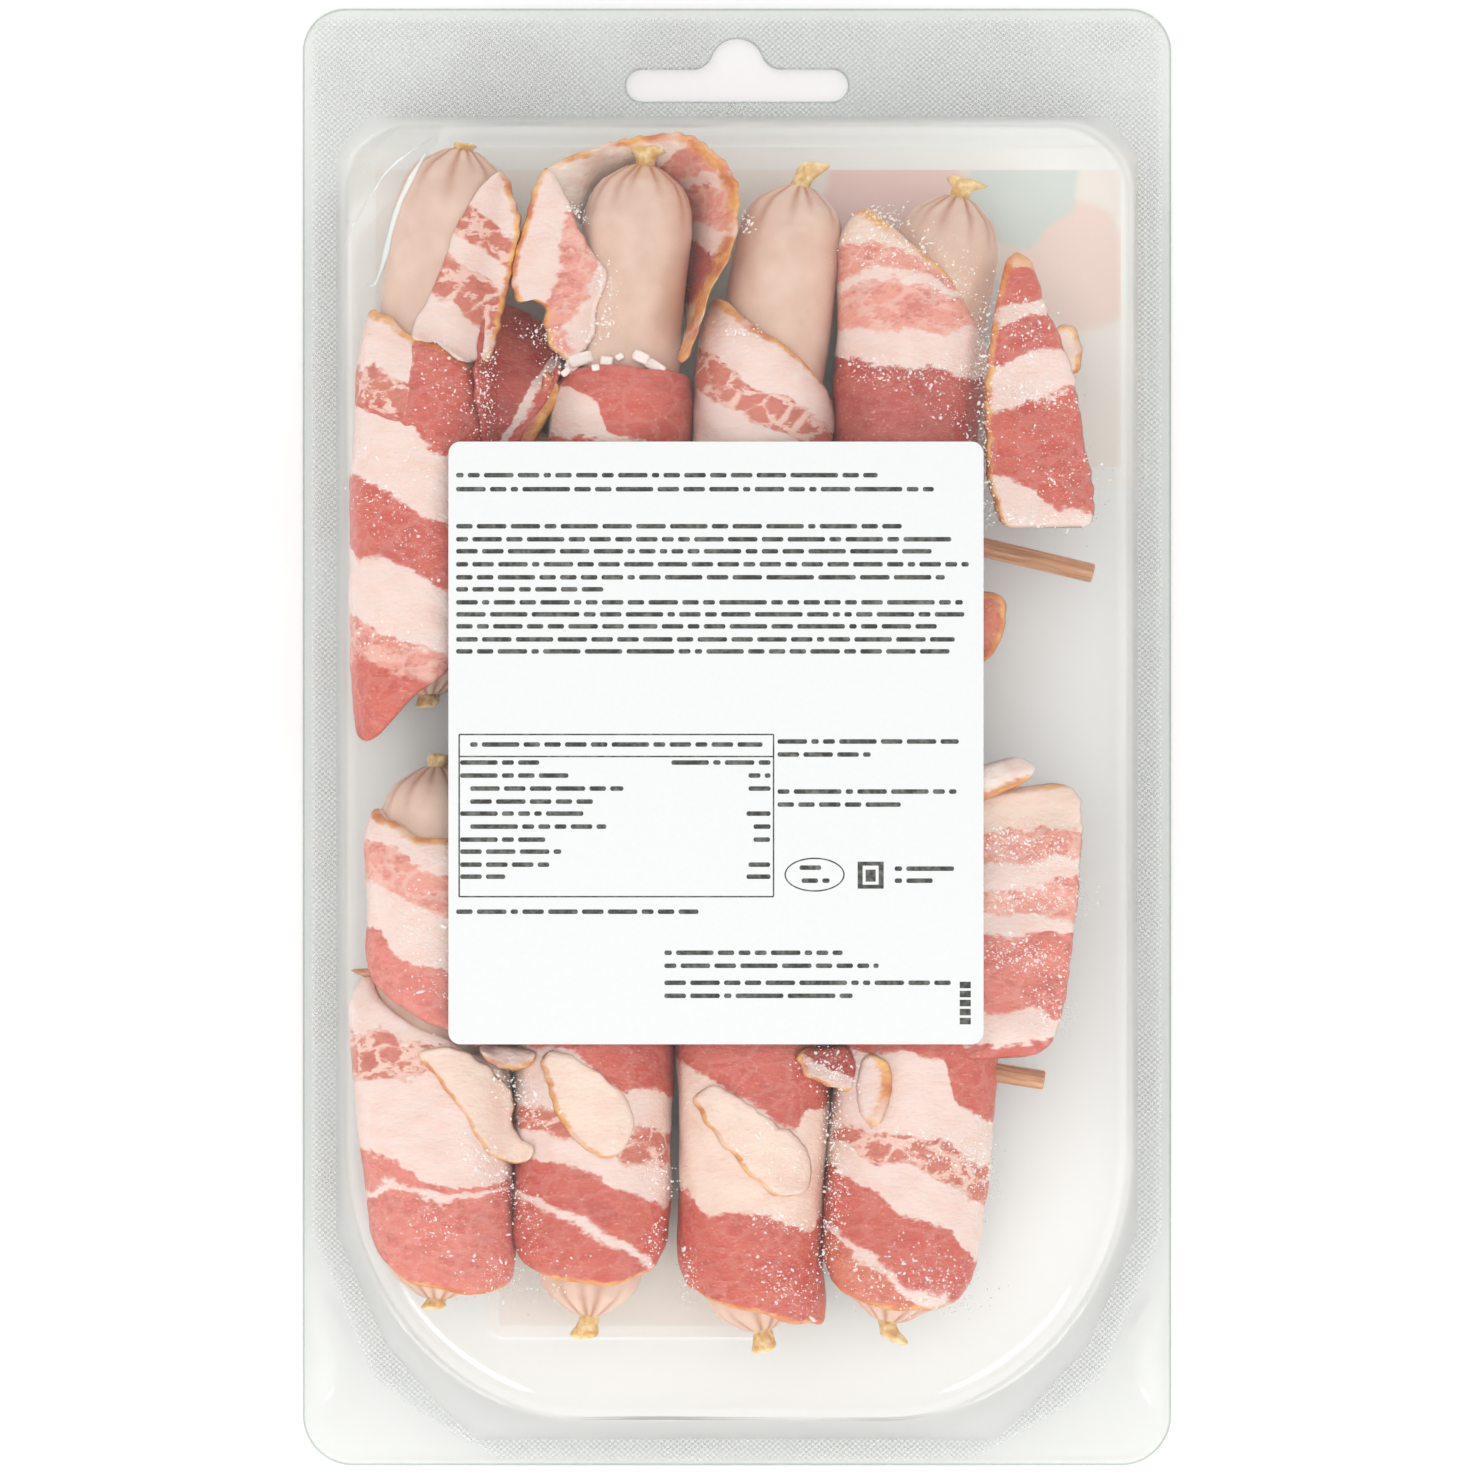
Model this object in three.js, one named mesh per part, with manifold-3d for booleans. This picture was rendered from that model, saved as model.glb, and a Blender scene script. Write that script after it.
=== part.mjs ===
// A sealed clear pack of eight small sausages wrapped in bacon, four on each of two wooden skewers.
//
// The pack lies on its flat front: the front labels and the lid film are at the bottom, and the
// flat floor of the deep-drawn tray, with the white back label on it, is at the top. The hang hole
// is at +Y. The origin is the middle of the footprint, on the surface that the pack lies on.
// Millimetres, +Z up.

import * as THREE from "three";
import { mergeVertices } from "three/addons/utils/BufferGeometryUtils.js";
import Module from "manifold-3d";

const wasm = await Module();
wasm.setup();

// ---------------------------------------------------------------- driving dimensions

const PACK_WIDTH = 155;
const PACK_LENGTH = 260;
const PACK_HEIGHT = 28;
const TOP_CORNER_RADIUS = 7.7;
const BOTTOM_CORNER_RADIUS = 9;

const LABEL_THICKNESS = 0.2;
const FILM_THICKNESS = 0.3;
const SHEET_THICKNESS = 0.5;

// The drawn cavity, measured at the flange. Its lower corners are long quarter ellipses.
const CAVITY_HALF_WIDTH = 70.4;
const CAVITY_TOP_Y = 109.6;
const CAVITY_BOTTOM_Y = -121.9;
const CAVITY_TOP_RADIUS = 12.5;
const CAVITY_BOTTOM_RADIUS_X = 44;
const CAVITY_BOTTOM_RADIUS_Y = 49;
const WALL_DRAFT = 1.2;
const FOOT_DRAFT = 0.3;
const FOOT_HEIGHT = 4;
const FLOOR_EDGE_RADIUS = 7.3;

// How much the cavity's corner radii grow or shrink for each millimetre that its outline draws in.
const TOP_RADIUS_GAIN = 0.4;
const BOTTOM_RADIUS_LOSS = 0.3;

// The upper left corner of the tray is pushed in flat, as far as a slanted plane.
const DENT_POINT = new THREE.Vector2(-70.4, 88.7);
const DENT_NORMAL = new THREE.Vector2(-0.758, 0.652);
const DENT_LEVEL = 20;
const DENT_SLOPE = 0.44;
const DENT_END_X = -51;
const DENT_END_Y = 87;
const DENT_CLEAR_OF_FLANGE = 1;
const WALL_BOW = 0.05;

// The hang hole: a round-ended slot with a bump over its middle.
const SLOT_HALF_LENGTH = 19.8;
const SLOT_BOTTOM_Y = 113.4;
const SLOT_HEIGHT = 5.7;
const BUMP_RADIUS = 4.7;
const BUMP_TOP_Y = 124.6;
const BUMP_FILLET = 3.6;

// The pull corners at the lower end each have a D-shaped dimple pressed up out of the flange.
const DIMPLE_HEIGHT = 1.4;
const DIMPLE_INNER_SCALE = 0.55;
const DIMPLE_OUTLINE = [
  [76.6, -99.6], [73.6, -102.4], [70.6, -107.6], [69.6, -111.9], [70.9, -117.2], [74.6, -120.6], [76.6, -121],
];

const SAUSAGE_LEVEL = 14;
const SAUSAGE_SIDES = 12;
const KNOT_RADIUS = 1.7;
const KNOT_NECK_RADIUS = 1.2;

const SKEWER_RADIUS = 1.7;
const SKEWER_TIP = 7;
const SKEWER_POINT_RADIUS = 0.5;
const CLEARANCE = 0.3;

const WRAP_HALF_HEIGHT = 12;
const WRAP_ROUNDNESS = 2.3;
const WRAP_SIDES = 18;
const WRAP_OUTER_ROWS = 6;
const WRAP_INNER_ROWS = 6;

const FLAP_COLUMNS = 7;
const FLAP_ROWS_PER_SPAN = 2;
const FLAP_GAP = 0.45;

// Facets: steps along each round stretch, and sides round each tube.
const ARC_STEPS = 6;
const LABEL_CORNER_STEPS = 4;
const LOWER_CORNER_STEPS = 9;
const UPPER_CORNER_STEPS = 5;
const DENTED_CORNER_STEPS = 8;
const FLOOR_EDGE_STEPS = 5;
const SAUSAGE_BELLY_STEPS = 5;
const SAUSAGE_CURVE_STEPS = 60;
const SKEWER_SIDES = 10;
const WELD_DISTANCE = 1e-4;
const SAME_PLACE = 1e-3;

// ---------------------------------------------------------------- places, in millimetres

// Each sausage runs along a gentle curve, from its upper knot to its lower knot.
const SAUSAGES = {
  u1: { radius: 10.4, axis: [[-48.6, 104.6], [-52.4, 78.9], [-55.3, 50.7], [-55.3, 24.2], [-54.5, 4.4]] },
  u2: { radius: 9.8, axis: [[-16.1, 103.6], [-18.2, 84.2], [-20.4, 59.5], [-22.1, 31.3], [-23.2, 1.4]] },
  u3: { radius: 9.6, axis: [[11.6, 99.6], [8.2, 80.6], [5.0, 54.2], [2.9, 27.8], [1.9, 0]] },
  u4: { radius: 9.5, axis: [[40, 98.6], [37.1, 85.9], [32.2, 61.2], [29.6, 31.3], [28.8, 0.6]] },
  l1: { radius: 10, axis: [[-53.1, -2.6], [-53.8, -28.6], [-54.2, -63.9], [-53, -92], [-53.4, -102.6]] },
  l2: { radius: 9.8, axis: [[-24.2, -3.6], [-24.9, -37.5], [-25.3, -72.7], [-26.3, -105.8]] },
  l3: { radius: 9.4, axis: [[1.9, -5], [2.2, -37.5], [2.7, -72.7], [2.8, -94], [5, -108]] },
  l4: { radius: 9.8, axis: [[34.6, -5.4], [33.2, -37.5], [30.8, -69.2], [28.4, -93], [26.2, -106.6]] },
};

// The skewers, from their pointed left ends to their square right ends.
const SKEWERS = {
  upper: [[-58.8, 58.0], [63.2, 29.0]],
  lower: [[-68.4, -41.4], [54.5, -60.9]],
};

// A wrap is the bacon round a sausage. Its two ends are given by their Y at the left side, on the
// middle and at the right side. half is its half width and shift its offset from the sausage's own
// middle, each at the upper and the lower end.
const WRAPS = {
  upper_1: { on: "u1", half: [13, 13], shift: [-0.4, -0.2], top: [75.6, 69.5, 62], bottom: [-1, 8.5, 22] },
  upper_2: { on: "u2", half: [12.7, 12.7], shift: [0, 0], top: [64.6, 65.4, 64], bottom: [8, 7, 7] },
  upper_3: { on: "u3", half: [11.7, 11.7], shift: [0, 0], top: [77.5, 70.5, 61], bottom: [6, 7, 8] },
  upper_4: { on: "u4", half: [12.6, 12.6], shift: [-1, 0.3], top: [92, 86.6, 73.2], bottom: [6, 6, 6] },
  lower_1_top: {
    on: "l1", half: [13, 13], shift: [1, 1], top: [-12.5, -18, -20], bottom: [-41.8, -51, -54],
  },
  lower_1: {
    on: "l1", half: [14.2, 12], shift: [-0.2, 1], top: [-42.6, -52.2, -55.2], bottom: [-91, -97.6, -96],
  },
  lower_2: { on: "l2", half: [13.4, 13.4], shift: [0, 0], top: [-12, -12, -12], bottom: [-92, -96.6, -93.5] },
  lower_3: { on: "l3", half: [13, 12.4], shift: [0, -0.6], top: [-14, -14, -14], bottom: [-97.6, -101.6, -104] },
  lower_4: { on: "l4", half: [14.3, 13.4], shift: [0.4, 0.8], top: [-14, -14, -14], bottom: [-95.4, -101, -99] },
};

// A flap is a free end or fold of bacon, laid between a left and a right edge. Over the wraps and
// sausages it names, it follows them; elsewhere it takes the heights given as the third number.
const FLAPS = {
  strip_upper_1: {
    over: ["upper_1"], thickness: 1,
    left: [[-41.5, 100.2, 16], [-47.1, 89.8, 20], [-50.6, 80.2, 20], [-55.6, 72.6, 20], [-52, 62, 20]],
    right: [[-39.6, 98.6, 16], [-38.6, 88.6, 16], [-40.8, 79.4, 16], [-42.9, 71.8, 16], [-43.6, 60, 16]],
  },
  hood_upper_2: {
    over: [], thickness: 1.2,
    right: [[-35, 99, 17], [-23.2, 104.8, 18], [-9.1, 106.6, 19], [-1.6, 100.2, 22], [-0.4, 94.6, 23.4],
      [-2, 84.5, 24], [-5.6, 76.9, 24.4], [-9.4, 67, 25.6]],
    left: [[-31, 92, 7], [-26, 97.6, 5], [-16.1, 99.5, 2.2], [-6.2, 97, 9], [-5.4, 90, 14],
      [-7.2, 81, 16], [-9.2, 75, 19], [-11.4, 68.6, 25]],
  },
  flap_upper_2: {
    over: ["u2"], thickness: 1.1,
    left: [[-34.6, 98.4, 19.6], [-36.4, 92.1, 20], [-38.6, 79.4, 20], [-38.8, 76.9, 20]],
    right: [[-33.4, 98.4, 19.6], [-29.2, 90.5, 19], [-23.2, 81.4, 19], [-27.6, 67.4, 19]],
  },
  fold_upper_middle: {
    over: [], thickness: 1.5,
    left: [[-41.2, 74.3, 15], [-41.4, 64, 18], [-42, 52.1, 18]],
    right: [[-34, 74.3, 14], [-34.4, 64, 18], [-34.6, 52.1, 18]],
  },
  end_upper_right: {
    over: [], thickness: 2,
    left: [[47.4, 85.4, 22], [46.4, 77, 22], [45.4, 70.2, 22.5], [44.8, 54.2, 23], [46.4, 37.6, 22]],
    right: [[49.6, 85.2, 21], [53, 76.9, 20], [56.1, 69.4, 18], [61.1, 54.2, 16], [63.2, 39, 14]],
  },
  tip_upper_right: {
    over: [], thickness: 1.4,
    left: [[57.6, 73.6, 11], [58.4, 67.5, 12]],
    right: [[59.8, 74.4, 11], [60.2, 68, 12]],
  },
  edge_upper_right: {
    over: [], thickness: 1.6,
    left: [[42.6, 26.5, 20], [42.4, 19, 20], [42.6, 12.2, 20]],
    right: [[46.4, 25.6, 19], [47.2, 19, 19], [44.4, 12.6, 19]],
  },
  tongue_lower_1: {
    over: ["lower_1", "lower_2"], thickness: 1,
    left: [[-56.7, -56.4, 20], [-53.5, -60.2, 20], [-48.6, -66, 20], [-43.4, -73.8, 22], [-38.6, -76, 22]],
    right: [[-50, -55.8, 20], [-43.6, -59.5, 22.5], [-39.2, -64.8, 22.5], [-36.6, -70.9, 22], [-35.5, -73, 22]],
  },
  tongue_lower_2: {
    over: ["lower_2"], thickness: 1,
    left: [[-34.3, -55.6, 20], [-32.3, -62.7, 20], [-28.3, -70.8, 20], [-23.6, -74, 20]],
    right: [[-30, -54.5, 20], [-22.5, -59.5, 20], [-18.6, -64.8, 20], [-20.4, -71.4, 20]],
  },
  fold_lower_3: {
    over: ["lower_3"], thickness: 1,
    left: [[-7.6, -60.6, 20], [-8.8, -68.5, 20], [-7.4, -76, 20]],
    right: [[3, -57.6, 20], [9.6, -66, 20], [11.6, -74.6, 20]],
  },
  flap_lower_3_4: {
    over: ["lower_3", "lower_4"], thickness: 1,
    left: [[10.8, -55.6, 20], [13.2, -60.8, 20], [18.6, -64.2, 20]],
    right: [[18.6, -54.4, 20], [20.6, -57.8, 20], [21, -60.6, 20]],
  },
  flap_lower_4: {
    over: ["lower_4"], thickness: 1,
    left: [[23.6, -56.6, 20], [22.6, -62, 20], [21.8, -67.4, 20]],
    right: [[27.2, -58.4, 20], [26.6, -64, 20], [23.9, -68, 20]],
  },
  end_lower_right: {
    over: ["lower_4"], thickness: 1,
    left: [[38, -4.8, 22], [38, -16.3, 22], [38, -33.9, 22], [38, -48, 22], [38, -54.6, 22]],
    right: [[60, -6.4, 19], [60.6, -16.3, 19], [59.4, -33.9, 19], [56.8, -48.6, 19], [55.6, -56, 19]],
  },
};

const LABELS = {
  front_label: { x: [-68.8, 72.8], y: [44.2, 105.3], radius: 2, level: 0 },
  front_label_small: { x: [-44.6, 7.6], y: [-107.2, -62], radius: 3, level: 0 },
  back_label: { x: [-50.8, 43.4], y: [-54.1, 52.0], radius: 2.1, level: PACK_HEIGHT },
};

// ---------------------------------------------------------------- finishes

const FINISHES = {
  clear_sheet: { color: 0xe3e9e6, roughness: 0.12, metalness: 0, transparent: true, opacity: 0.3 },
  lid_film: { color: 0xe6e9e6, roughness: 0.15, metalness: 0, transparent: true, opacity: 0.3 },
  label_paper: { color: 0xf6f7f7, roughness: 0.6, metalness: 0 },
  sausage_meat: { color: 0xe5c4b3, roughness: 0.4, metalness: 0 },
  bacon: { color: 0xd88a80, roughness: 0.4, metalness: 0 },
  skewer_wood: { color: 0xc08a66, roughness: 0.7, metalness: 0 },
};

const pack = new THREE.Group();

function addPiece(name, geometry, finish) {
  const mesh = new THREE.Mesh(geometry, new THREE.MeshStandardMaterial(FINISHES[finish]));
  mesh.name = name;
  pack.add(mesh);
  return mesh;
}

// ---------------------------------------------------------------- geometry helpers

function meshGeometry(points, triangles) {
  const geometry = new THREE.BufferGeometry();
  geometry.setAttribute("position", new THREE.Float32BufferAttribute(points.flat(), 3));
  geometry.setIndex(triangles.flat());
  return geometry;
}

function toSolid(geometry) {
  const bare = geometry.clone();
  bare.deleteAttribute("normal");
  bare.deleteAttribute("uv");
  const welded = mergeVertices(bare, WELD_DISTANCE);
  const vertProperties = new Float32Array(welded.attributes.position.array);
  const triVerts = new Uint32Array(welded.index.array);
  return new wasm.Manifold(new wasm.Mesh({ numProp: 3, vertProperties, triVerts }));
}

function fromSolid(solid) {
  const mesh = solid.getMesh();
  const geometry = new THREE.BufferGeometry();
  geometry.setAttribute("position", new THREE.BufferAttribute(mesh.vertProperties, 3));
  geometry.setIndex(new THREE.BufferAttribute(mesh.triVerts, 1));
  return geometry;
}

// A ring of points joined to the next one. Rings run the same way round and have equal counts.
function bandBetween(first, second, count, triangles) {
  for (let i = 0; i < count; i += 1) {
    const j = (i + 1) % count;
    triangles.push([first + i, first + j, second + j], [first + i, second + j, second + i]);
  }
}

// A closed body through rings of points, each end closed by a fan round its middle.
function loftBody(rings) {
  const count = rings[0].length;
  const points = rings.flat();
  const triangles = [];
  for (let k = 0; k + 1 < rings.length; k += 1) {
    bandBetween(k * count, (k + 1) * count, count, triangles);
  }
  const middle = (ring) => [0, 1, 2].map((axis) => ring.reduce((sum, p) => sum + p[axis], 0) / count);
  const startTip = points.push(middle(rings[0])) - 1;
  const endTip = points.push(middle(rings.at(-1))) - 1;
  const last = (rings.length - 1) * count;
  for (let i = 0; i < count; i += 1) {
    const j = (i + 1) % count;
    triangles.push([startTip, j, i], [endTip, last + i, last + j]);
  }
  return meshGeometry(points, triangles);
}

// A closed sheet from an upper grid of points, with the lower grid straight below it.
function sheetBody(grid, thickness) {
  const rows = grid.length;
  const columns = grid[0].length;
  const upper = grid.flat();
  const points = upper.concat(upper.map(([x, y, z]) => [x, y, z - thickness]));
  const under = rows * columns;
  const triangles = [];
  const quad = (a, b, c, d) => triangles.push([a, b, c], [a, c, d]);
  for (let i = 0; i + 1 < rows; i += 1) {
    for (let j = 0; j + 1 < columns; j += 1) {
      const a = i * columns + j;
      quad(a, a + columns, a + columns + 1, a + 1);
      quad(under + a, under + a + 1, under + a + columns + 1, under + a + columns);
    }
  }
  for (let i = 0; i + 1 < rows; i += 1) {
    const left = i * columns;
    const right = left + columns - 1;
    quad(left, under + left, under + left + columns, left + columns);
    quad(right, right + columns, under + right + columns, under + right);
  }
  const last = (rows - 1) * columns;
  for (let j = 0; j + 1 < columns; j += 1) {
    quad(j, j + 1, under + j + 1, under + j);
    quad(last + j, under + last + j, under + last + j + 1, last + j + 1);
  }
  return meshGeometry(points, triangles);
}

// ---------------------------------------------------------------- outlines

function packOutline() {
  const shape = new THREE.Shape();
  const x = PACK_WIDTH / 2;
  const y = PACK_LENGTH / 2;
  const lower = BOTTOM_CORNER_RADIUS;
  const upper = TOP_CORNER_RADIUS;
  shape.absarc(x - lower, -y + lower, lower, -Math.PI / 2, 0);
  shape.absarc(x - upper, y - upper, upper, 0, Math.PI / 2);
  shape.absarc(-x + upper, y - upper, upper, Math.PI / 2, Math.PI);
  shape.absarc(-x + lower, -y + lower, lower, Math.PI, 1.5 * Math.PI);
  shape.closePath();
  return shape;
}

function hangHole() {
  const hole = new THREE.Path();
  const end = SLOT_HEIGHT / 2;
  const slotTop = SLOT_BOTTOM_Y + SLOT_HEIGHT;
  const bumpY = BUMP_TOP_Y - BUMP_RADIUS;
  const filletY = slotTop + BUMP_FILLET;
  const reach = BUMP_RADIUS + BUMP_FILLET;
  const filletX = Math.sqrt(reach ** 2 - (filletY - bumpY) ** 2);
  const lean = Math.atan2(filletY - bumpY, filletX);
  hole.absarc(SLOT_HALF_LENGTH - end, SLOT_BOTTOM_Y + end, end, -Math.PI / 2, Math.PI / 2);
  hole.absarc(filletX, filletY, BUMP_FILLET, -Math.PI / 2, -Math.PI + lean, true);
  hole.absarc(0, bumpY, BUMP_RADIUS, lean, Math.PI - lean);
  hole.absarc(-filletX, filletY, BUMP_FILLET, -lean, -Math.PI / 2, true);
  hole.absarc(-SLOT_HALF_LENGTH + end, SLOT_BOTTOM_Y + end, end, Math.PI / 2, 1.5 * Math.PI);
  hole.closePath();
  return hole;
}

// A path's points, once round, without the repeats where its arcs meet.
function ringOf(path) {
  const points = path.getPoints(ARC_STEPS);
  const apart = (p, q) => p.distanceTo(q) > SAME_PLACE;
  return points.filter((p, i) => apart(p, points[(i + 1) % points.length])).map((p) => [p.x, p.y]);
}

// The cavity's outline, drawn in by inset all round. The points run anticlockwise.
function cavityOutline(inset) {
  const points = [];
  const quarter = (cx, cy, rx, ry, from, steps) => {
    for (let i = 0; i <= steps; i += 1) {
      const angle = from + (i / steps) * (Math.PI / 2);
      points.push([cx + rx * Math.cos(angle), cy + ry * Math.sin(angle)]);
    }
  };
  const halfWidth = CAVITY_HALF_WIDTH - inset;
  const top = CAVITY_TOP_Y - inset;
  const bottom = CAVITY_BOTTOM_Y + inset;
  const upper = CAVITY_TOP_RADIUS + TOP_RADIUS_GAIN * inset;
  const rx = CAVITY_BOTTOM_RADIUS_X - BOTTOM_RADIUS_LOSS * inset;
  const ry = CAVITY_BOTTOM_RADIUS_Y - BOTTOM_RADIUS_LOSS * inset;
  quarter(halfWidth - rx, bottom + ry, rx, ry, -Math.PI / 2, LOWER_CORNER_STEPS);
  quarter(halfWidth - upper, top - upper, upper, upper, 0, UPPER_CORNER_STEPS);
  points.push([DENT_END_X, top + WALL_BOW]);
  quarter(-halfWidth + upper, top - upper, upper, upper, Math.PI / 2, DENTED_CORNER_STEPS);
  points.push([-halfWidth - WALL_BOW, DENT_END_Y]);
  quarter(-halfWidth + rx, bottom + ry, rx, ry, Math.PI, LOWER_CORNER_STEPS);
  return points;
}

function dimpleOutline(side, scale) {
  const outline = side < 0 ? DIMPLE_OUTLINE.slice().reverse() : DIMPLE_OUTLINE;
  const middle = [0, 1].map((axis) => outline.reduce((sum, p) => sum + p[axis], 0) / outline.length);
  return outline.map((p) => [
    side * (middle[0] + (p[0] - middle[0]) * scale),
    middle[1] + (p[1] - middle[1]) * scale,
  ]);
}

// ---------------------------------------------------------------- the tray

const filmBottom = LABEL_THICKNESS;
const flangeBottom = filmBottom + FILM_THICKNESS;
const flangeTop = flangeBottom + SHEET_THICKNESS;

function pushIn([x, y, z], depth) {
  const beyond = (x - DENT_POINT.x) * DENT_NORMAL.x + (y - DENT_POINT.y) * DENT_NORMAL.y
    + DENT_SLOPE * (z - DENT_LEVEL) + depth;
  if (beyond <= 0 || x > 0 || y < 0 || z < flangeTop + DENT_CLEAR_OF_FLANGE) {
    return [x, y, z];
  }
  return [x - beyond * DENT_NORMAL.x, y - beyond * DENT_NORMAL.y, z];
}

// The wall's profile as pairs of inset and height, on the outside face or thickness further in.
function wallProfile(thickness) {
  const top = PACK_HEIGHT - thickness;
  const radius = FLOOR_EDGE_RADIUS - thickness;
  const foot = thickness > 0 ? flangeBottom : flangeTop;
  const profile = [[thickness, foot], [thickness + FOOT_DRAFT, foot + FOOT_HEIGHT]];
  for (let i = 0; i <= FLOOR_EDGE_STEPS; i += 1) {
    const angle = (i / FLOOR_EDGE_STEPS) * (Math.PI / 2);
    const inset = WALL_DRAFT + thickness + radius * (1 - Math.cos(angle));
    profile.push([inset, top - radius + radius * Math.sin(angle)]);
  }
  return profile;
}

function wallRings(thickness) {
  return wallProfile(thickness).map(([inset, z]) => (
    cavityOutline(inset).map(([x, y]) => pushIn([x, y, z], thickness))
  ));
}

function trayBody() {
  const points = [];
  const triangles = [];
  const addRing = (ring) => {
    const first = points.length;
    points.push(...ring);
    return first;
  };
  const fanOver = (ring, first, facingUp) => {
    const flat = ring.map(([x, y]) => new THREE.Vector2(x, y));
    for (const [a, b, c] of THREE.ShapeUtils.triangulateShape(flat, [])) {
      triangles.push(facingUp ? [first + a, first + b, first + c] : [first + a, first + c, first + b]);
    }
  };
  const stack = (rings, facingUp) => {
    const firsts = rings.map(addRing);
    for (let k = 0; k + 1 < firsts.length; k += 1) {
      const [lower, upper] = facingUp ? [firsts[k], firsts[k + 1]] : [firsts[k + 1], firsts[k]];
      bandBetween(lower, upper, rings[k].length, triangles);
    }
    return firsts;
  };

  const outsideRings = wallRings(0);
  const insideRings = wallRings(SHEET_THICKNESS);
  const outside = stack(outsideRings, true);
  const inside = stack(insideRings, false);
  fanOver(outsideRings.at(-1), outside.at(-1), true);
  fanOver(insideRings.at(-1), inside.at(-1), false);

  const atLevel = (outline, z) => outline.map(([x, y]) => [x, y, z]);
  const edge = ringOf(packOutline());
  const hole = ringOf(hangHole());
  const dimples = [-1, 1].map((side) => ({
    rim: dimpleOutline(side, 1),
    crown: dimpleOutline(side, DIMPLE_INNER_SCALE),
  }));

  const plate = (z, cavityRing, cavityFirst, facingUp) => {
    const edgeFirst = addRing(atLevel(edge, z));
    const holeFirst = addRing(atLevel(hole, z));
    const rims = dimples.map((dimple) => addRing(atLevel(dimple.rim, z)));
    const crowns = dimples.map((dimple) => addRing(atLevel(dimple.crown, z + DIMPLE_HEIGHT)));
    const loops = [
      { ring: edge, first: edgeFirst },
      { ring: cavityRing, first: cavityFirst },
      { ring: hole, first: holeFirst },
      ...dimples.map((dimple, i) => ({ ring: dimple.rim, first: rims[i] })),
    ];
    const flat = loops.map(({ ring }) => ring.map(([x, y]) => new THREE.Vector2(x, y)));
    const index = loops.flatMap(({ ring, first }) => ring.map((_, i) => first + i));
    for (const [a, b, c] of THREE.ShapeUtils.triangulateShape(flat[0], flat.slice(1))) {
      const face = [index[a], index[b], index[c]];
      triangles.push(facingUp ? face : [face[0], face[2], face[1]]);
    }
    dimples.forEach((dimple, i) => {
      const [low, high] = facingUp ? [rims[i], crowns[i]] : [crowns[i], rims[i]];
      bandBetween(low, high, dimple.rim.length, triangles);
      fanOver(dimple.crown, crowns[i], facingUp);
    });
    return { edgeFirst, holeFirst };
  };
  const upper = plate(flangeTop, outsideRings[0], outside[0], true);
  const lower = plate(flangeBottom, insideRings[0], inside[0], false);
  bandBetween(lower.edgeFirst, upper.edgeFirst, edge.length, triangles);
  bandBetween(upper.holeFirst, lower.holeFirst, hole.length, triangles);
  return meshGeometry(points, triangles);
}

// ---------------------------------------------------------------- film and labels

function filmBody() {
  const shape = packOutline();
  shape.holes.push(hangHole());
  const geometry = new THREE.ExtrudeGeometry(shape, {
    depth: FILM_THICKNESS, bevelEnabled: false, curveSegments: ARC_STEPS,
  });
  geometry.translate(0, 0, filmBottom);
  return geometry;
}

function labelBody({ x, y, radius, level }) {
  const shape = new THREE.Shape();
  shape.absarc(x[1] - radius, y[0] + radius, radius, -Math.PI / 2, 0);
  shape.absarc(x[1] - radius, y[1] - radius, radius, 0, Math.PI / 2);
  shape.absarc(x[0] + radius, y[1] - radius, radius, Math.PI / 2, Math.PI);
  shape.absarc(x[0] + radius, y[0] + radius, radius, Math.PI, 1.5 * Math.PI);
  shape.closePath();
  const geometry = new THREE.ExtrudeGeometry(shape, {
    depth: LABEL_THICKNESS, bevelEnabled: false, curveSegments: LABEL_CORNER_STEPS,
  });
  geometry.translate(0, 0, level);
  return geometry;
}

// ---------------------------------------------------------------- skewers

function skewerTube([from, to], radius, tip, extra) {
  const start = new THREE.Vector3(from[0], from[1], SAUSAGE_LEVEL);
  const end = new THREE.Vector3(to[0], to[1], SAUSAGE_LEVEL);
  const along = end.clone().sub(start).normalize();
  const length = start.distanceTo(end) + 2 * extra;
  const blunt = tip > 0 ? SKEWER_POINT_RADIUS : radius;
  const profile = [
    new THREE.Vector2(0, 0),
    new THREE.Vector2(blunt, 0),
    new THREE.Vector2(radius, tip),
    new THREE.Vector2(radius, length),
    new THREE.Vector2(0, length),
  ];
  if (tip === 0) {
    profile.splice(1, 1);
  }
  const geometry = new THREE.LatheGeometry(profile, SKEWER_SIDES);
  const turn = new THREE.Quaternion().setFromUnitVectors(new THREE.Vector3(0, 1, 0), along);
  geometry.applyQuaternion(turn);
  const foot = start.addScaledVector(along, -extra);
  geometry.translate(foot.x, foot.y, foot.z);
  return geometry;
}

const bores = {};
for (const [row, ends] of Object.entries(SKEWERS)) {
  bores[row] = toSolid(skewerTube(ends, SKEWER_RADIUS + CLEARANCE, 0, CLEARANCE));
}

// Takes the hole of a row's skewer out of a piece.
function withBore(geometry, row) {
  return fromSolid(toSolid(geometry).subtract(bores[row]));
}

// ---------------------------------------------------------------- sausages

function sausageCurve(name) {
  const points = SAUSAGES[name].axis.map(([x, y]) => new THREE.Vector3(x, y, SAUSAGE_LEVEL));
  return new THREE.CatmullRomCurve3(points, false, "centripetal");
}

// Radii by the distance from a knot's free end: the knot, its neck, and the round shoulder.
function shoulder(radius) {
  return [
    [0, 0.9], [1.2, KNOT_RADIUS], [2.9, KNOT_NECK_RADIUS], [3.5, 0.38 * radius], [5.2, 0.62 * radius],
    [8, 0.83 * radius], [12, 0.96 * radius], [17, radius],
  ];
}

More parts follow.
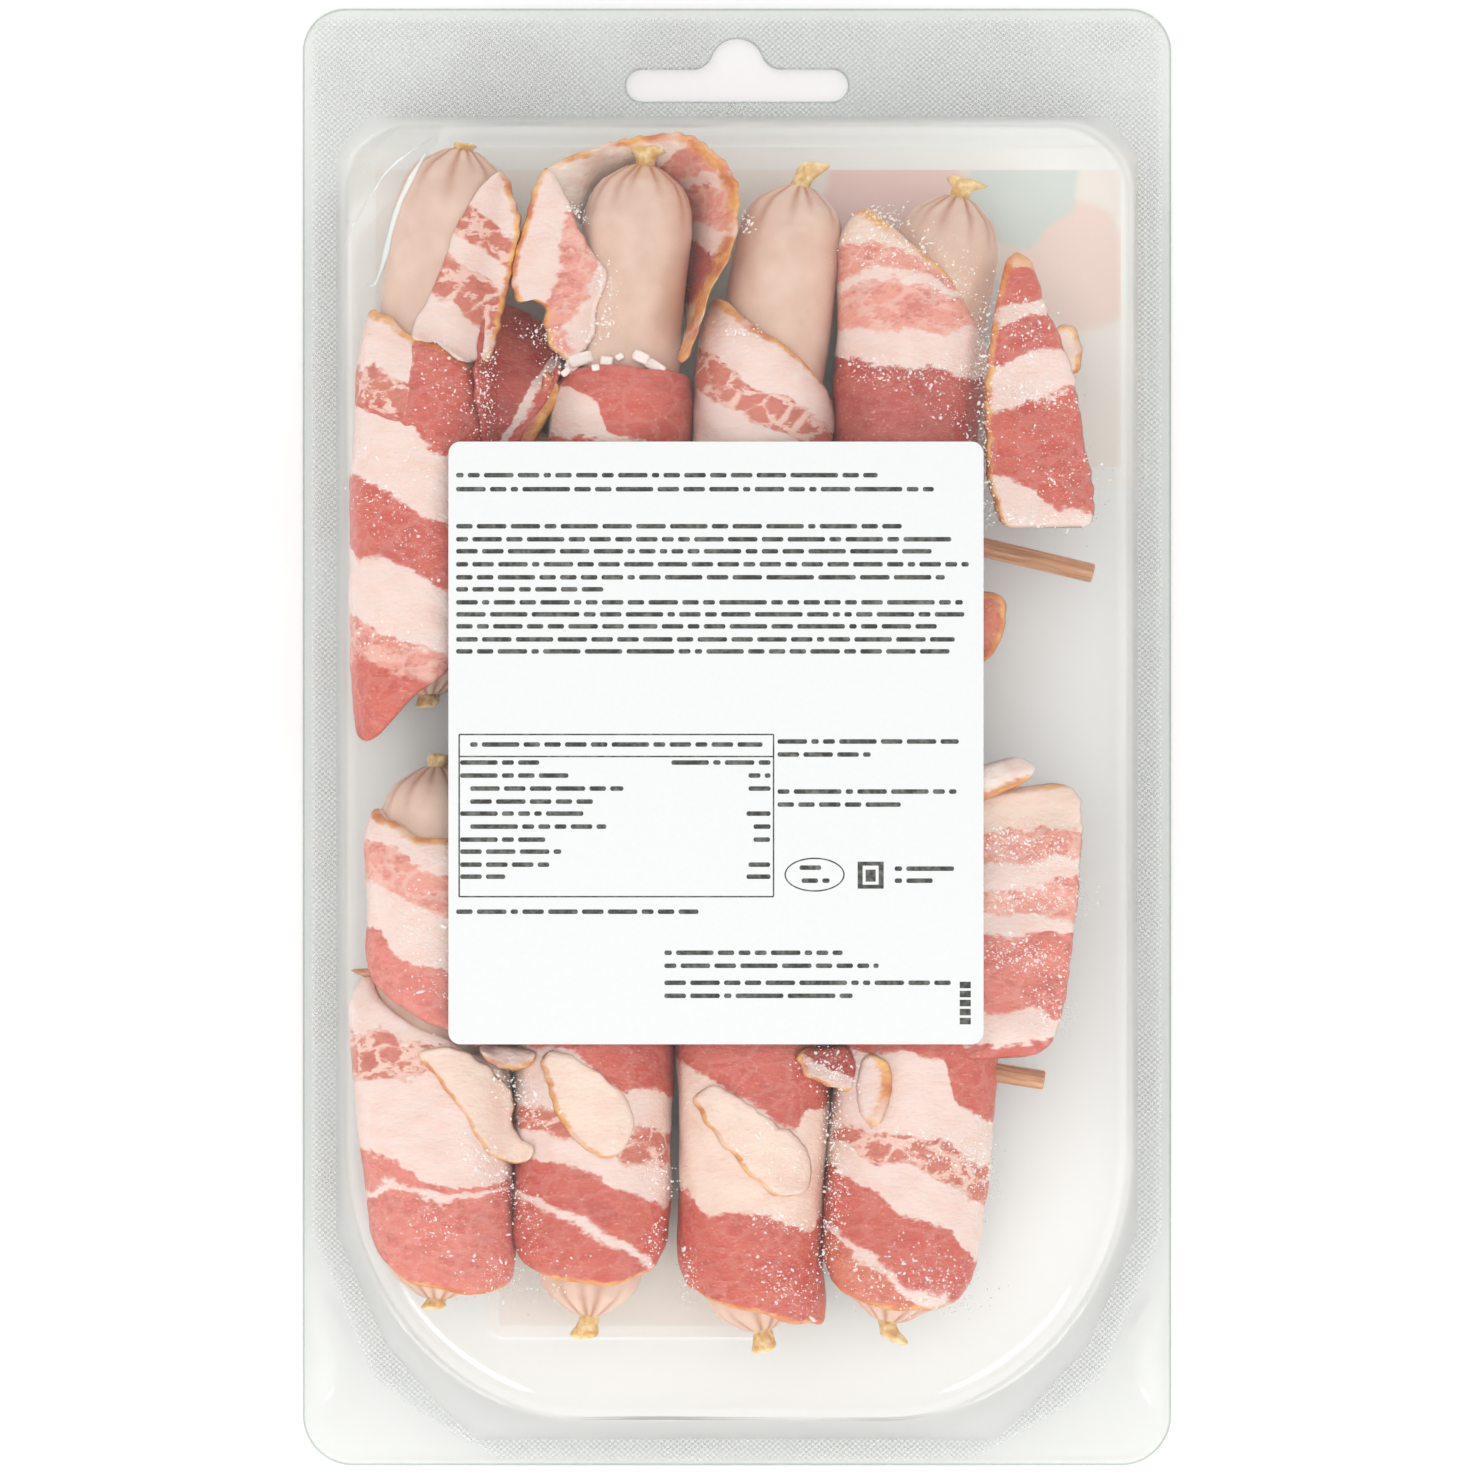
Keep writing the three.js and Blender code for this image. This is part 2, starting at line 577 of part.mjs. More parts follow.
function sausageBody(name) {
  const { radius } = SAUSAGES[name];
  const curve = sausageCurve(name);
  const length = curve.getLength();
  const ends = shoulder(radius);
  const stations = [...ends];
  const plain = length - 2 * ends.at(-1)[0];
  for (let i = 1; i < SAUSAGE_BELLY_STEPS; i += 1) {
    stations.push([ends.at(-1)[0] + (i / SAUSAGE_BELLY_STEPS) * plain, radius]);
  }
  stations.push(...ends.slice().reverse().map(([s, r]) => [length - s, r]));
  const rings = stations.map(([s, r]) => {
    const at = curve.getPointAt(s / length);
    const along = curve.getTangentAt(s / length);
    const ring = [];
    for (let i = 0; i < SAUSAGE_SIDES; i += 1) {
      const angle = (i / SAUSAGE_SIDES) * 2 * Math.PI;
      const across = r * Math.cos(angle);
      ring.push([at.x - across * along.y, at.y + across * along.x, at.z + r * Math.sin(angle)]);
    }
    return ring;
  });
  return loftBody(rings);
}

// ---------------------------------------------------------------- bacon wraps

const curves = {};
for (const name of Object.keys(SAUSAGES)) {
  curves[name] = sausageCurve(name).getPoints(SAUSAGE_CURVE_STEPS);
}

// The sausage's middle X at a given Y, held straight beyond its ends.
function middleAt(name, y) {
  const line = curves[name];
  if (y >= line[0].y) {
    return line[0].x;
  }
  for (let i = 0; i + 1 < line.length; i += 1) {
    if (y <= line[i].y && y >= line[i + 1].y) {
      const t = (line[i].y - y) / (line[i].y - line[i + 1].y);
      return line[i].x + t * (line[i + 1].x - line[i].x);
    }
  }
  return line.at(-1).x;
}

// The Y of a wrap's end at an angle round the sausage, 0 on top and growing to the right.
function wrapEnd([left, middle, right], angle) {
  return middle + ((right - left) / 2) * Math.sin(angle) + ((left + right) / 2 - middle) * (1 - Math.cos(angle));
}

function roundedBox(angle) {
  const power = 2 / WRAP_ROUNDNESS;
  const s = Math.sin(angle);
  const c = Math.cos(angle);
  return [Math.sign(s) * Math.abs(s) ** power, Math.sign(c) * Math.abs(c) ** power];
}

// A wrap's middle X and half width at a given Y.
function wrapAcross({ on, half, shift, top, bottom }, y) {
  const t = THREE.MathUtils.clamp((top[1] - y) / (top[1] - bottom[1]), 0, 1);
  return [middleAt(on, y) + THREE.MathUtils.lerp(...shift, t), THREE.MathUtils.lerp(...half, t)];
}

function wrapBody(wrap) {
  const { on, top, bottom } = wrap;
  const reach = (SAUSAGES[on].radius + CLEARANCE) / Math.cos(Math.PI / WRAP_SIDES);
  const loops = [];
  for (let i = 0; i < WRAP_SIDES; i += 1) {
    const angle = (i / WRAP_SIDES) * 2 * Math.PI;
    const from = wrapEnd(top, angle);
    const to = wrapEnd(bottom, angle);
    const [across, up] = roundedBox(angle);
    const loop = [];
    for (let k = 0; k < WRAP_OUTER_ROWS; k += 1) {
      const y = from + (k / (WRAP_OUTER_ROWS - 1)) * (to - from);
      const [middle, half] = wrapAcross(wrap, y);
      loop.push([middle + half * across, y, SAUSAGE_LEVEL + WRAP_HALF_HEIGHT * up]);
    }
    for (let k = WRAP_INNER_ROWS - 1; k >= 0; k -= 1) {
      const y = from + (k / (WRAP_INNER_ROWS - 1)) * (to - from);
      loop.push([middleAt(on, y) + reach * Math.sin(angle), y, SAUSAGE_LEVEL + reach * Math.cos(angle)]);
    }
    loops.push(loop);
  }
  const count = loops[0].length;
  const triangles = [];
  for (let i = 0; i < WRAP_SIDES; i += 1) {
    const next = ((i + 1) % WRAP_SIDES) * count;
    bandBetween(i * count, next, count, triangles);
  }
  return meshGeometry(loops.flat(), triangles);
}

// ---------------------------------------------------------------- free ends and folds

// The height of a wrap's or a sausage's upper face over a point, or nothing beside it.
function faceOver(name, x, y) {
  const wrap = WRAPS[name];
  const [middle, half] = wrap ? wrapAcross(wrap, y) : [middleAt(name, y), SAUSAGES[name].radius];
  const height = wrap ? WRAP_HALF_HEIGHT : half;
  const roundness = wrap ? WRAP_ROUNDNESS : 2;
  const off = Math.abs(x - middle) / half;
  if (off >= 1) {
    return -Infinity;
  }
  return SAUSAGE_LEVEL + height * (1 - off ** roundness) ** (1 / roundness);
}

function flapBody({ over, thickness, left, right }) {
  const grid = [];
  const edge = (points, t) => {
    const curve = new THREE.CatmullRomCurve3(points.map((p) => new THREE.Vector3(...p)), false, "centripetal");
    return curve.getPoint(t);
  };
  const rows = (left.length - 1) * FLAP_ROWS_PER_SPAN;
  for (let i = 0; i <= rows; i += 1) {
    const a = edge(left, i / rows);
    const b = edge(right, i / rows);
    const row = [];
    for (let j = 0; j <= FLAP_COLUMNS; j += 1) {
      const p = a.clone().lerp(b, j / FLAP_COLUMNS);
      const carried = over.map((name) => faceOver(name, p.x, p.y) + FLAP_GAP + thickness);
      row.push([p.x, p.y, Math.max(p.z, ...carried)]);
    }
    grid.push(row);
  }
  return sheetBody(grid, thickness);
}

// ---------------------------------------------------------------- the whole pack

addPiece("tray", trayBody(), "clear_sheet");
addPiece("lid_film", filmBody(), "lid_film");
for (const [name, label] of Object.entries(LABELS)) {
  addPiece(name, labelBody(label), "label_paper");
}
for (const [row, ends] of Object.entries(SKEWERS)) {
  addPiece(`skewer_${row}`, skewerTube(ends, SKEWER_RADIUS, SKEWER_TIP, 0), "skewer_wood");
}
for (const name of Object.keys(SAUSAGES)) {
  const row = name.startsWith("u") ? "upper" : "lower";
  addPiece(`sausage_${row}_${name.slice(1)}`, withBore(sausageBody(name), row), "sausage_meat");
}
for (const [name, wrap] of Object.entries(WRAPS)) {
  const row = name.startsWith("upper") ? "upper" : "lower";
  addPiece(`bacon_wrap_${name}`, withBore(wrapBody(wrap), row), "bacon");
}
for (const [name, flap] of Object.entries(FLAPS)) {
  addPiece(`bacon_${name}`, flapBody(flap), "bacon");
}

export default pack;
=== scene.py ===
# %% [markdown]
# # A sealed pack of bacon-wrapped sausage skewers
# A deep-drawn clear tray holds eight small sausages, four on each of two wooden skewers, with
# bacon wound round every one. A clear film closes it, and it lies on that film, so the tray's
# flat floor and the white label on it face up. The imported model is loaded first, and every piece
# below is built round it, in metres.

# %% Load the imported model
import math

import bmesh
import bpy
import numpy as np
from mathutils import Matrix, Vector
from mathutils.geometry import delaunay_2d_cdt


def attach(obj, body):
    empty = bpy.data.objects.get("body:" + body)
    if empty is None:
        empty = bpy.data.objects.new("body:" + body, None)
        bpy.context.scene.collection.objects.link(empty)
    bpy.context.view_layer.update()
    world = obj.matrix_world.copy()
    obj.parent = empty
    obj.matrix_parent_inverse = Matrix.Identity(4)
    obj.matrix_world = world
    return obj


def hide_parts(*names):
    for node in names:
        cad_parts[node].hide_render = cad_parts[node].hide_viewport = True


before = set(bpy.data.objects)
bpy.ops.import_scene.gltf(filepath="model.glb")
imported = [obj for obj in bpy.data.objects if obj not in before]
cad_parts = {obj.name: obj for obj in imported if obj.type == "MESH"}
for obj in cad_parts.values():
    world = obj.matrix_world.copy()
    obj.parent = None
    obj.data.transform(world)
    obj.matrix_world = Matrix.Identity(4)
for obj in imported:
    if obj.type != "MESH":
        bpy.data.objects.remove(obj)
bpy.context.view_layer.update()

MM = 0.001

# %% [markdown]
# ## Helpers for meshes
# Almost every piece of the pack is a grid of points bent into shape: a tube round a sausage, a
# strip laid over a wrap, the drawn wall of the tray. So one helper joins a grid into faces.
# Sizes are worked out in millimetres and only become metres at the last step, which keeps the
# numbers readable.

# %% Places and grids
PICTURE_SCALE = 0.17625  # millimetres to one picture unit, at the height of the meat
PICTURE_MIDDLE = 737.5


def at(px, py):
    """Place of a picture point in the pack's own millimetres."""
    return (px - PICTURE_MIDDLE) * PICTURE_SCALE, (PICTURE_MIDDLE - py) * PICTURE_SCALE


def places(points):
    """The same for a list of points, whose heights are left out."""
    return np.array([at(*p[:2]) for p in points])


def grid_faces(rows, columns, round_rows=False, round_columns=False):
    """Faces between the rows and columns of a grid of points, closed round where asked."""
    i, j = np.meshgrid(
        np.arange(rows if round_rows else rows - 1),
        np.arange(columns if round_columns else columns - 1),
        indexing="ij",
    )
    below, right = (i + 1) % rows, (j + 1) % columns
    quads = np.stack(
        [i * columns + j, below * columns + j, below * columns + right, i * columns + right], -1
    )
    return quads.reshape(-1, 4).tolist()


def closed_tube(rows, sides):
    """Faces of a tube of rings, with a flat cap on both ends."""
    faces = grid_faces(rows, sides, round_columns=True)
    faces.append(tuple(range(sides)))
    faces.append(tuple(range(rows * sides - 1, (rows - 1) * sides - 1, -1)))
    return faces


print("one picture unit is", PICTURE_SCALE, "mm")

# %% [markdown]
# A piece is a mesh with its name, and with layers of numbers that its finish can read. Once it
# has its finish it rides on the pack and takes the place of the plain solid it stands for.

# %% Pieces
def make_piece(name, points, faces, layers=None):
    """A smooth-shaded mesh object from points in millimetres, with its layers of numbers."""
    mesh = bpy.data.meshes.new(name)
    mesh.from_pydata((np.asarray(points, float).reshape(-1, 3) * MM).tolist(), [], faces)
    for layer, values in (layers or {}).items():
        attribute = mesh.attributes.new(layer, "FLOAT", "POINT")
        attribute.data.foreach_set("value", np.asarray(values, np.float32).ravel())
    mesh.shade_smooth()
    piece = bpy.data.objects.new(name, mesh)
    bpy.context.scene.collection.objects.link(piece)
    return piece


def coat(piece, finish):
    """Takes off whatever finish the piece has and gives it this one."""
    piece.data.materials.clear()
    piece.data.materials.append(finish)


def settle(piece, finish, slot, *nodes):
    """The piece gets its finish, rides on the pack and stands for the solids it replaces."""
    coat(piece, finish)
    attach(piece, "root")
    if nodes:
        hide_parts(*nodes)
    return piece


def weld(piece, reach):
    """Joins points of the piece that lie within reach of each other, in millimetres."""
    piece.modifiers.new("weld", "WELD").merge_threshold = reach * MM


# %% [markdown]
# Meat has no straight lines. A few given points become a smooth line with its points evenly
# spaced, and a ripple of nine slow waves lays uneven relief on a line or a surface.

# %% Smooth lines and ripples
CURVE_STEPS = 12  # steps between two given points of a smooth line
RIPPLE_WAVES = 9


def steps_of(line):
    """The length of each step of a line."""
    return np.linalg.norm(np.diff(line, axis=0), axis=1)


def distances(steps):
    """How far along its line each point lies."""
    return np.concatenate([[0], np.cumsum(steps)])


def smooth_line(points, count):
    """A smooth curve through the points, evenly spaced."""
    p = np.array(points, float)
    knots = distances(np.sqrt(steps_of(p)))
    slope = np.gradient(p, knots, axis=0)
    s = np.linspace(0, knots[-1], CURVE_STEPS * len(p))
    i = np.clip(np.searchsorted(knots, s) - 1, 0, len(p) - 2)
    h = (knots[i + 1] - knots[i])[:, None]
    u = (s - knots[i])[:, None] / h
    curve = (
        (2 * u**3 - 3 * u**2 + 1) * p[i]
        + (u**3 - 2 * u**2 + u) * h * slope[i]
        + (3 * u**2 - 2 * u**3) * p[i + 1]
        + (u**3 - u**2) * h * slope[i + 1]
    )
    length = distances(steps_of(curve))
    even = np.linspace(0, length[-1], count)
    return np.stack([np.interp(even, length, curve[:, k]) for k in range(p.shape[1])], -1)


def ripple(points, size, seed):
    """Soft random relief, about -1 to 1, with lumps about size apart."""
    rng = np.random.default_rng(seed)
    p = np.asarray(points, float)
    total = np.zeros(p.shape[:-1])
    for _ in range(RIPPLE_WAVES):
        way = rng.normal(size=p.shape[-1])
        way *= 2 * math.pi / (size * rng.uniform(0.7, 1.8) * np.linalg.norm(way))
        total += np.sin(p @ way + rng.uniform(0, 2 * math.pi))
    return total / 4


# %% [markdown]
# ## A bench for finishes
# A finish is a small chain of nodes. The bench below adds a node, fills its sockets and wires
# whatever comes from another node, so that each finish further down reads as a short recipe.

# %% The bench
def tone(red, green, blue):
    """A colour as a painter reads it off a swatch, 0 to 255, turned into Blender's linear light."""
    flat = [c / 255 for c in (red, green, blue)]
    return (*[c / 12.92 if c < 0.04045 else ((c + 0.055) / 1.055) ** 2.4 for c in flat], 1.0)


class Bench:
    """One finish in the making, with the place on the pack in millimetres to start from."""

    def __init__(self, name):
        self.finish = bpy.data.materials.new(name)
        self.finish.use_nodes = True
        self.tree = self.finish.node_tree
        self.shader = self.tree.nodes["Principled BSDF"]
        self.output = self.tree.nodes["Material Output"]
        self.place = self.scaled(self.add("ShaderNodeTexCoord").outputs["Object"], 1000)

    def add(self, kind, fill=None, **settings):
        node = self.tree.nodes.new(kind)
        for key, value in settings.items():
            setattr(node, key, value)
        for key, value in (fill or {}).items():
            self.put(node.inputs[key], value)
        return node

    def put(self, socket, value):
        if isinstance(value, bpy.types.NodeSocket):
            self.tree.links.new(value, socket)
        else:
            socket.default_value = value

    def scaled(self, vector, factor):
        factor = (factor,) * 3 if isinstance(factor, (int, float)) else factor
        return self.vector("MULTIPLY", vector, factor)

    def vector(self, operation, a, b):
        return self.add("ShaderNodeVectorMath", {0: a, 1: b}, operation=operation).outputs[0]

    def math(self, operation, a, b=0.0, c=0.0):
        return self.add("ShaderNodeMath", {0: a, 1: b, 2: c}, operation=operation).outputs[0]

    def noise(self, size, detail=3, stretch=None, roughness=0.5):
        """Noise from 0 to 1, with lumps of the given size in millimetres."""
        place = self.scaled(self.place, stretch) if stretch else self.place
        fill = {"Vector": place, "Scale": 1 / size, "Detail": detail, "Roughness": roughness}
        return self.add("ShaderNodeTexNoise", fill).outputs["Fac"]

    def ramp(self, value, low, high, to_low=0.0, to_high=1.0, smooth=True):
        fill = {"Value": value, "From Min": low, "From Max": high, "To Min": to_low, "To Max": to_high}
        kind = "SMOOTHSTEP" if smooth else "LINEAR"
        return self.add("ShaderNodeMapRange", fill, interpolation_type=kind).outputs["Result"]

    def mix(self, factor, a, b, kind="MIX"):
        node = self.add("ShaderNodeMix", {0: factor, 6: a, 7: b}, data_type="RGBA", blend_type=kind)
        return node.outputs[2]

    def layer(self, name):
        return self.add("ShaderNodeAttribute", attribute_name=name).outputs["Fac"]

    def bump(self, height, distance, normal=None):
        """Height from 0 to 1 stands for that distance in millimetres."""
        fill = {"Height": height, "Distance": distance * MM, "Strength": 1.0}
        if normal is not None:
            fill["Normal"] = normal
        return self.add("ShaderNodeBump", fill).outputs["Normal"]

    def set(self, **values):
        for key, value in values.items():
            self.put(self.shader.inputs[key.replace("_", " ")], value)
        return self.finish

    def see_through(self, amount, tint):
        """Lets everything but the given amount of light through, with a tint."""
        clear = self.add("ShaderNodeBsdfTransparent", {"Color": tint})
        mixed = self.add("ShaderNodeMixShader", {0: amount, 1: clear.outputs[0], 2: self.shader.outputs[0]})
        self.put(self.output.inputs["Surface"], mixed.outputs[0])
        return self.finish


# %% [markdown]
# ## Camera, floor and light
# The pack is seen from straight above, from far enough away that its tall walls hardly lean. A
# sheet of white card lies under it. A dome that brightens towards the top stands for the white
# walls and roof of a light tent, and three softboxes low at the sides draw the long bright
# streaks on the curved plastic.

# %% Camera, card and lights
CAMERA_HEIGHT = 2.0
FIELD_WIDTH = 0.2632
SENSOR_WIDTH = 36
camera_data = bpy.data.cameras.new("camera")
camera_data.sensor_width = SENSOR_WIDTH
camera_data.lens = SENSOR_WIDTH * CAMERA_HEIGHT / FIELD_WIDTH
camera_data.clip_start = 0.05
camera_data.clip_end = 20
camera = bpy.data.objects.new("camera", camera_data)
camera.location = (0, 0, CAMERA_HEIGHT)
bpy.context.scene.collection.objects.link(camera)
bpy.context.scene.camera = camera

scene = bpy.context.scene
scene.view_settings.view_transform = "Standard"
scene.cycles.max_bounces = 6
scene.cycles.diffuse_bounces = 3
scene.cycles.glossy_bounces = 2
scene.cycles.transmission_bounces = 0

CARD_HALF = 1500
CARD_LEVEL = -0.05  # a hair below the pack, so the two faces never share one plane
card = make_piece(
    "card",
    [(x, y, CARD_LEVEL) for x, y in ((-CARD_HALF, -CARD_HALF), (CARD_HALF, -CARD_HALF),
                                     (CARD_HALF, CARD_HALF), (-CARD_HALF, CARD_HALF))],
    [(0, 1, 2, 3)],
)
bench = Bench("white_card")
grain = bench.noise(3, 2)
card.data.materials.append(
    bench.set(
        Base_Color=bench.mix(grain, tone(252, 252, 252), tone(254, 254, 254)),
        Roughness=0.9,
        Specular_IOR_Level=0.1,
    )
)

TENT_WALL = 0.74
TENT_ROOF = 1.28
world = bpy.data.worlds.new("light_tent")
world.use_nodes = True
tent = world.node_tree
upward = tent.nodes.new("ShaderNodeSeparateXYZ")
tent.links.new(tent.nodes.new("ShaderNodeTexCoord").outputs["Generated"], upward.inputs[0])
brightness = tent.nodes.new("ShaderNodeMapRange")
brightness.inputs["To Min"].default_value = TENT_WALL
brightness.inputs["To Max"].default_value = TENT_ROOF
steepness = tent.nodes.new("ShaderNodeMath")
steepness.operation = "POWER"
steepness.inputs[1].default_value = 2
tent.links.new(upward.outputs["Z"], steepness.inputs[0])
tent.links.new(steepness.outputs[0], brightness.inputs["Value"])
tent.nodes["Background"].inputs["Color"].default_value = (1, 1, 1, 1)
tent.links.new(brightness.outputs["Result"], tent.nodes["Background"].inputs["Strength"])
scene.world = world


def softbox(name, place, size, watts, aim=(0, 0, 0.01)):
    light = bpy.data.lights.new(name, "AREA")
    light.shape = "RECTANGLE"
    light.size, light.size_y = size
    light.energy = watts
    lamp = bpy.data.objects.new(name, light)
    lamp.location = place
    lamp.rotation_euler = (Vector(aim) - Vector(place)).to_track_quat("-Z", "Y").to_euler()
    scene.collection.objects.link(lamp)
    return lamp


softbox("softbox_low_left", (-0.6, -0.8, 0.45), (0.6, 0.16), 2.6)
softbox("softbox_low_right", (0.6, -0.8, 0.45), (0.6, 0.16), 2.6)
softbox("softbox_top_left", (-0.7, 0.75, 0.5), (0.4, 0.08), 0.7)
print("camera lens", round(camera_data.lens, 1), "mm")

# %% [markdown]
# ## Where the meat lies
# Each sausage follows a gentle curve, and each wrap follows its sausage. These are the same
# lines that the solid model was built on, so every piece lands where its solid is.

# %% Lines of the sausages, wraps and skewers
LEVEL = 14  # height of the middle of every sausage and skewer
# For each sausage: its radius and the points that its middle line runs through.
SAUSAGES = {
    "upper_1": (10.4, [(-48.6, 104.6), (-52.4, 78.9), (-55.3, 50.7), (-55.3, 24.2), (-54.5, 4.4)]),
    "upper_2": (9.8, [(-16.1, 103.6), (-18.2, 84.2), (-20.4, 59.5), (-22.1, 31.3), (-23.2, 1.4)]),
    "upper_3": (9.6, [(11.6, 99.6), (8.2, 80.6), (5.0, 54.2), (2.9, 27.8), (1.9, 0)]),
    "upper_4": (9.5, [(40, 98.6), (37.1, 85.9), (32.2, 61.2), (29.6, 31.3), (28.8, 0.6)]),
    "lower_1": (10, [(-53.1, -2.6), (-53.8, -28.6), (-54.2, -63.9), (-53, -92), (-53.4, -102.6)]),
    "lower_2": (9.8, [(-24.2, -3.6), (-24.9, -37.5), (-25.3, -72.7), (-26.3, -105.8)]),
    "lower_3": (9.4, [(1.9, -5), (2.2, -37.5), (2.7, -72.7), (2.8, -94), (5, -108)]),
    "lower_4": (9.8, [(34.6, -5.4), (33.2, -37.5), (30.8, -69.2), (28.4, -93), (26.2, -106.6)]),
}
SKEWERS = {
    "upper": ((-58.8, 58.0), (63.2, 29.0)),
    "lower": ((-68.4, -41.4), (54.5, -60.9)),
}
# For each wrap: its sausage, half widths and sideways shifts from the upper to the lower end,
# and the Y of its upper and lower edge at the left side, on top and at the right side.
WRAPS = {
    "upper_1": ("upper_1", (13, 13), (-0.4, -0.2), (75.6, 69.5, 62), (-1, 8.5, 22)),
    "upper_2": ("upper_2", (12.7, 12.7), (0, 0), (64.6, 65.4, 64), (8, 7, 7)),
    "upper_3": ("upper_3", (12.6, 12.2), (-0.7, -0.4), (77.5, 70.5, 61), (6, 7, 8)),
    "upper_4": (
        "upper_4", (13.6, 13.4, 13.1, 12.7, 12.6), (-6, -2.4, -0.7, 0.2, 0.3), (92.5, 86.6, 73.2), (6, 6, 6)
    ),
    "lower_1_top": ("lower_1", (13.3, 13.3), (1, 1), (-12.5, -18, -20), (-41.8, -51, -54)),
    "lower_1": ("lower_1", (14.4, 13.4, 12.6), (0, 0.9, 1.1), (-42.6, -52.2, -55.2), (-91, -97.6, -96)),
    "lower_2": ("lower_2", (14, 14), (-0.5, -0.3), (-12, -12, -12), (-92, -96.6, -93.5)),
    "lower_3": ("lower_3", (13.7, 13.5, 12.8), (0.3, 0.4, -0.4), (-14, -14, -14), (-97.6, -101.6, -104)),
    "lower_4": ("lower_4", (14.9, 14.7, 14), (0, 0, 0.4), (-14, -14, -14), (-95.4, -101, -99)),
}
WRAP_HALF_HEIGHT = 12.6
WRAP_ROUNDNESS = 2.3  # 2 would be an ellipse, and more is squarer
MEAT_CEILING = 27.3
print(len(SAUSAGES), "sausages,", len(WRAPS), "wraps")

# %% [markdown]
# Flaps, crumbs and wraps have to know what they lie on. The same lines answer that: how wide a
# wrap is at a place, where its edges are, and how high the meat stands there.

# %% How high the meat stands
AXIS_POINTS = 160
BARE_HEIGHT = -5.0  # stands for no meat at all, safely under the pack
BARE_END = 4  # length at each end of a sausage that counts as no meat, since it narrows there

AXES = {name: smooth_line(line, AXIS_POINTS) for name, (_, line) in SAUSAGES.items()}


def axis_x(name, y):
    line = AXES[name][::-1]
    return np.interp(y, line[:, 1], line[:, 0])


def wrap_end(ends, sine, cosine):
    """Y of a wrap's edge all round it, from its Y at the left side, on top and at the right side."""
    left, middle, right = ends
    return middle + (right - left) / 2 * sine + ((left + right) / 2 - middle) * (1 - cosine)


def wrap_section(name, y):
    """Middle and half width of a wrap at height y of the pack."""
    sausage, half, shift, top, bottom = WRAPS[name]
    share = np.clip((top[1] - y) / (top[1] - bottom[1]), 0, 1)
    middle = axis_x(sausage, y) + np.interp(share, np.linspace(0, 1, len(shift)), shift)
    return middle, np.interp(share, np.linspace(0, 1, len(half)), half)


def meat_top(x, y):
    """Height of the highest sausage or wrap over each point of the plan."""
    height = np.full(np.shape(x), BARE_HEIGHT)
    for name, (radius, line) in SAUSAGES.items():
        off = x - axis_x(name, y)
        inside = (np.abs(off) < radius) & (y < line[0][1] - BARE_END) & (y > line[-1][1] + BARE_END)
        crown = LEVEL + np.sqrt(np.maximum(radius**2 - off**2, 0))
        height = np.where(inside, np.maximum(height, crown), height)
    for name, (_, _, _, top, bottom) in WRAPS.items():
        middle, half = wrap_section(name, y)
        off = np.clip((x - middle) / half, -1, 1)
        sine = np.sign(off) * np.abs(off) ** (WRAP_ROUNDNESS / 2)
        cosine = np.sqrt(1 - sine**2)
        inside = (np.abs(off) < 1) & (y < wrap_end(top, sine, cosine)) & (y > wrap_end(bottom, sine, cosine))
        crown = LEVEL + WRAP_HALF_HEIGHT * (1 - np.abs(off) ** WRAP_ROUNDNESS) ** (1 / WRAP_ROUNDNESS)
        height = np.where(inside, np.maximum(height, crown), height)
    return height


over_first_wrap = meat_top(np.array([-55.0]), np.array([40.0]))
print("top of the meat over the first wrap:", over_first_wrap.round(1))

# %% [markdown]
# ## Sausages
# A small cooked sausage in a natural casing: pale beige-pink, smooth, and gathered at each end
# into fine pleats that run to a tied knot. It could be a stretched sphere, but the pleats and
# the blunt shoulder are what make it read as a tied casing, so it is a tube whose radius
# follows a shoulder profile, with pleats that deepen towards the tie.

# %% Casing finish
bench = Bench("sausage_casing")
mottle = bench.noise(6, 2)
speck = bench.ramp(bench.noise(0.9, 2), 0.66, 0.74)
flesh = bench.mix(bench.ramp(mottle, 0.3, 0.7), tone(219, 185, 167), tone(229, 198, 181))
flesh = bench.mix(bench.math("MULTIPLY", speck, 0.25), flesh, tone(206, 156, 136))
# Painted shade: the casing darkens towards brown along the pleats, the more the deeper the pleat, for the
# shade in their folds.
pleat_shade = bench.layer("pleat_shade")
flesh = bench.mix(bench.math("MULTIPLY", pleat_shade, 0.95), flesh, tone(186, 126, 102))
fine = bench.noise(0.6, 2)
CASING = bench.set(
    Base_Color=flesh,
    Roughness=bench.ramp(mottle, 0.2, 0.8, 0.36, 0.5),
    Specular_IOR_Level=0.4,
    Subsurface_Weight=0.25,
    Subsurface_Radius=(1.0, 0.45, 0.3),
    Subsurface_Scale=0.0025,
    Normal=bench.bump(fine, 0.05),
)

# %% Sausage bodies
# Distance from the tie in millimetres, and the share of the full radius there.
SHOULDER = [
    (0, 0.17), (0.3, 0.29), (1.0, 0.42), (1.8, 0.54), (3.3, 0.75), (5.2, 0.87), (7.6, 0.95), (11.5, 1.0),
]
LINE_POINTS = 400
AROUND = 120
END_ROWS = 24
END_REACH = 12
BODY_ROWS = 60
PLEATS = 13
PLEAT_SCATTER = 0.16
PLEAT_HALF_ANGLE = 0.1
PLEAT_DEPTH = 0.85
PLEAT_REACH = (4.5, 12)
PLEAT_START = 1.2
CASING_RELIEF = 0.18
# Distance from the end of the line to the tie, at the upper and the lower end.
TIES = {
    "upper_1": (0.4, 3.0), "upper_2": (2.2, 3.0), "upper_3": (1.9, 3.0), "upper_4": (2.9, 3.0),
    "lower_1": (2.6, 3.0), "lower_2": (3.0, 3.2), "lower_3": (3.0, 2.8), "lower_4": (3.0, 3.0),
}


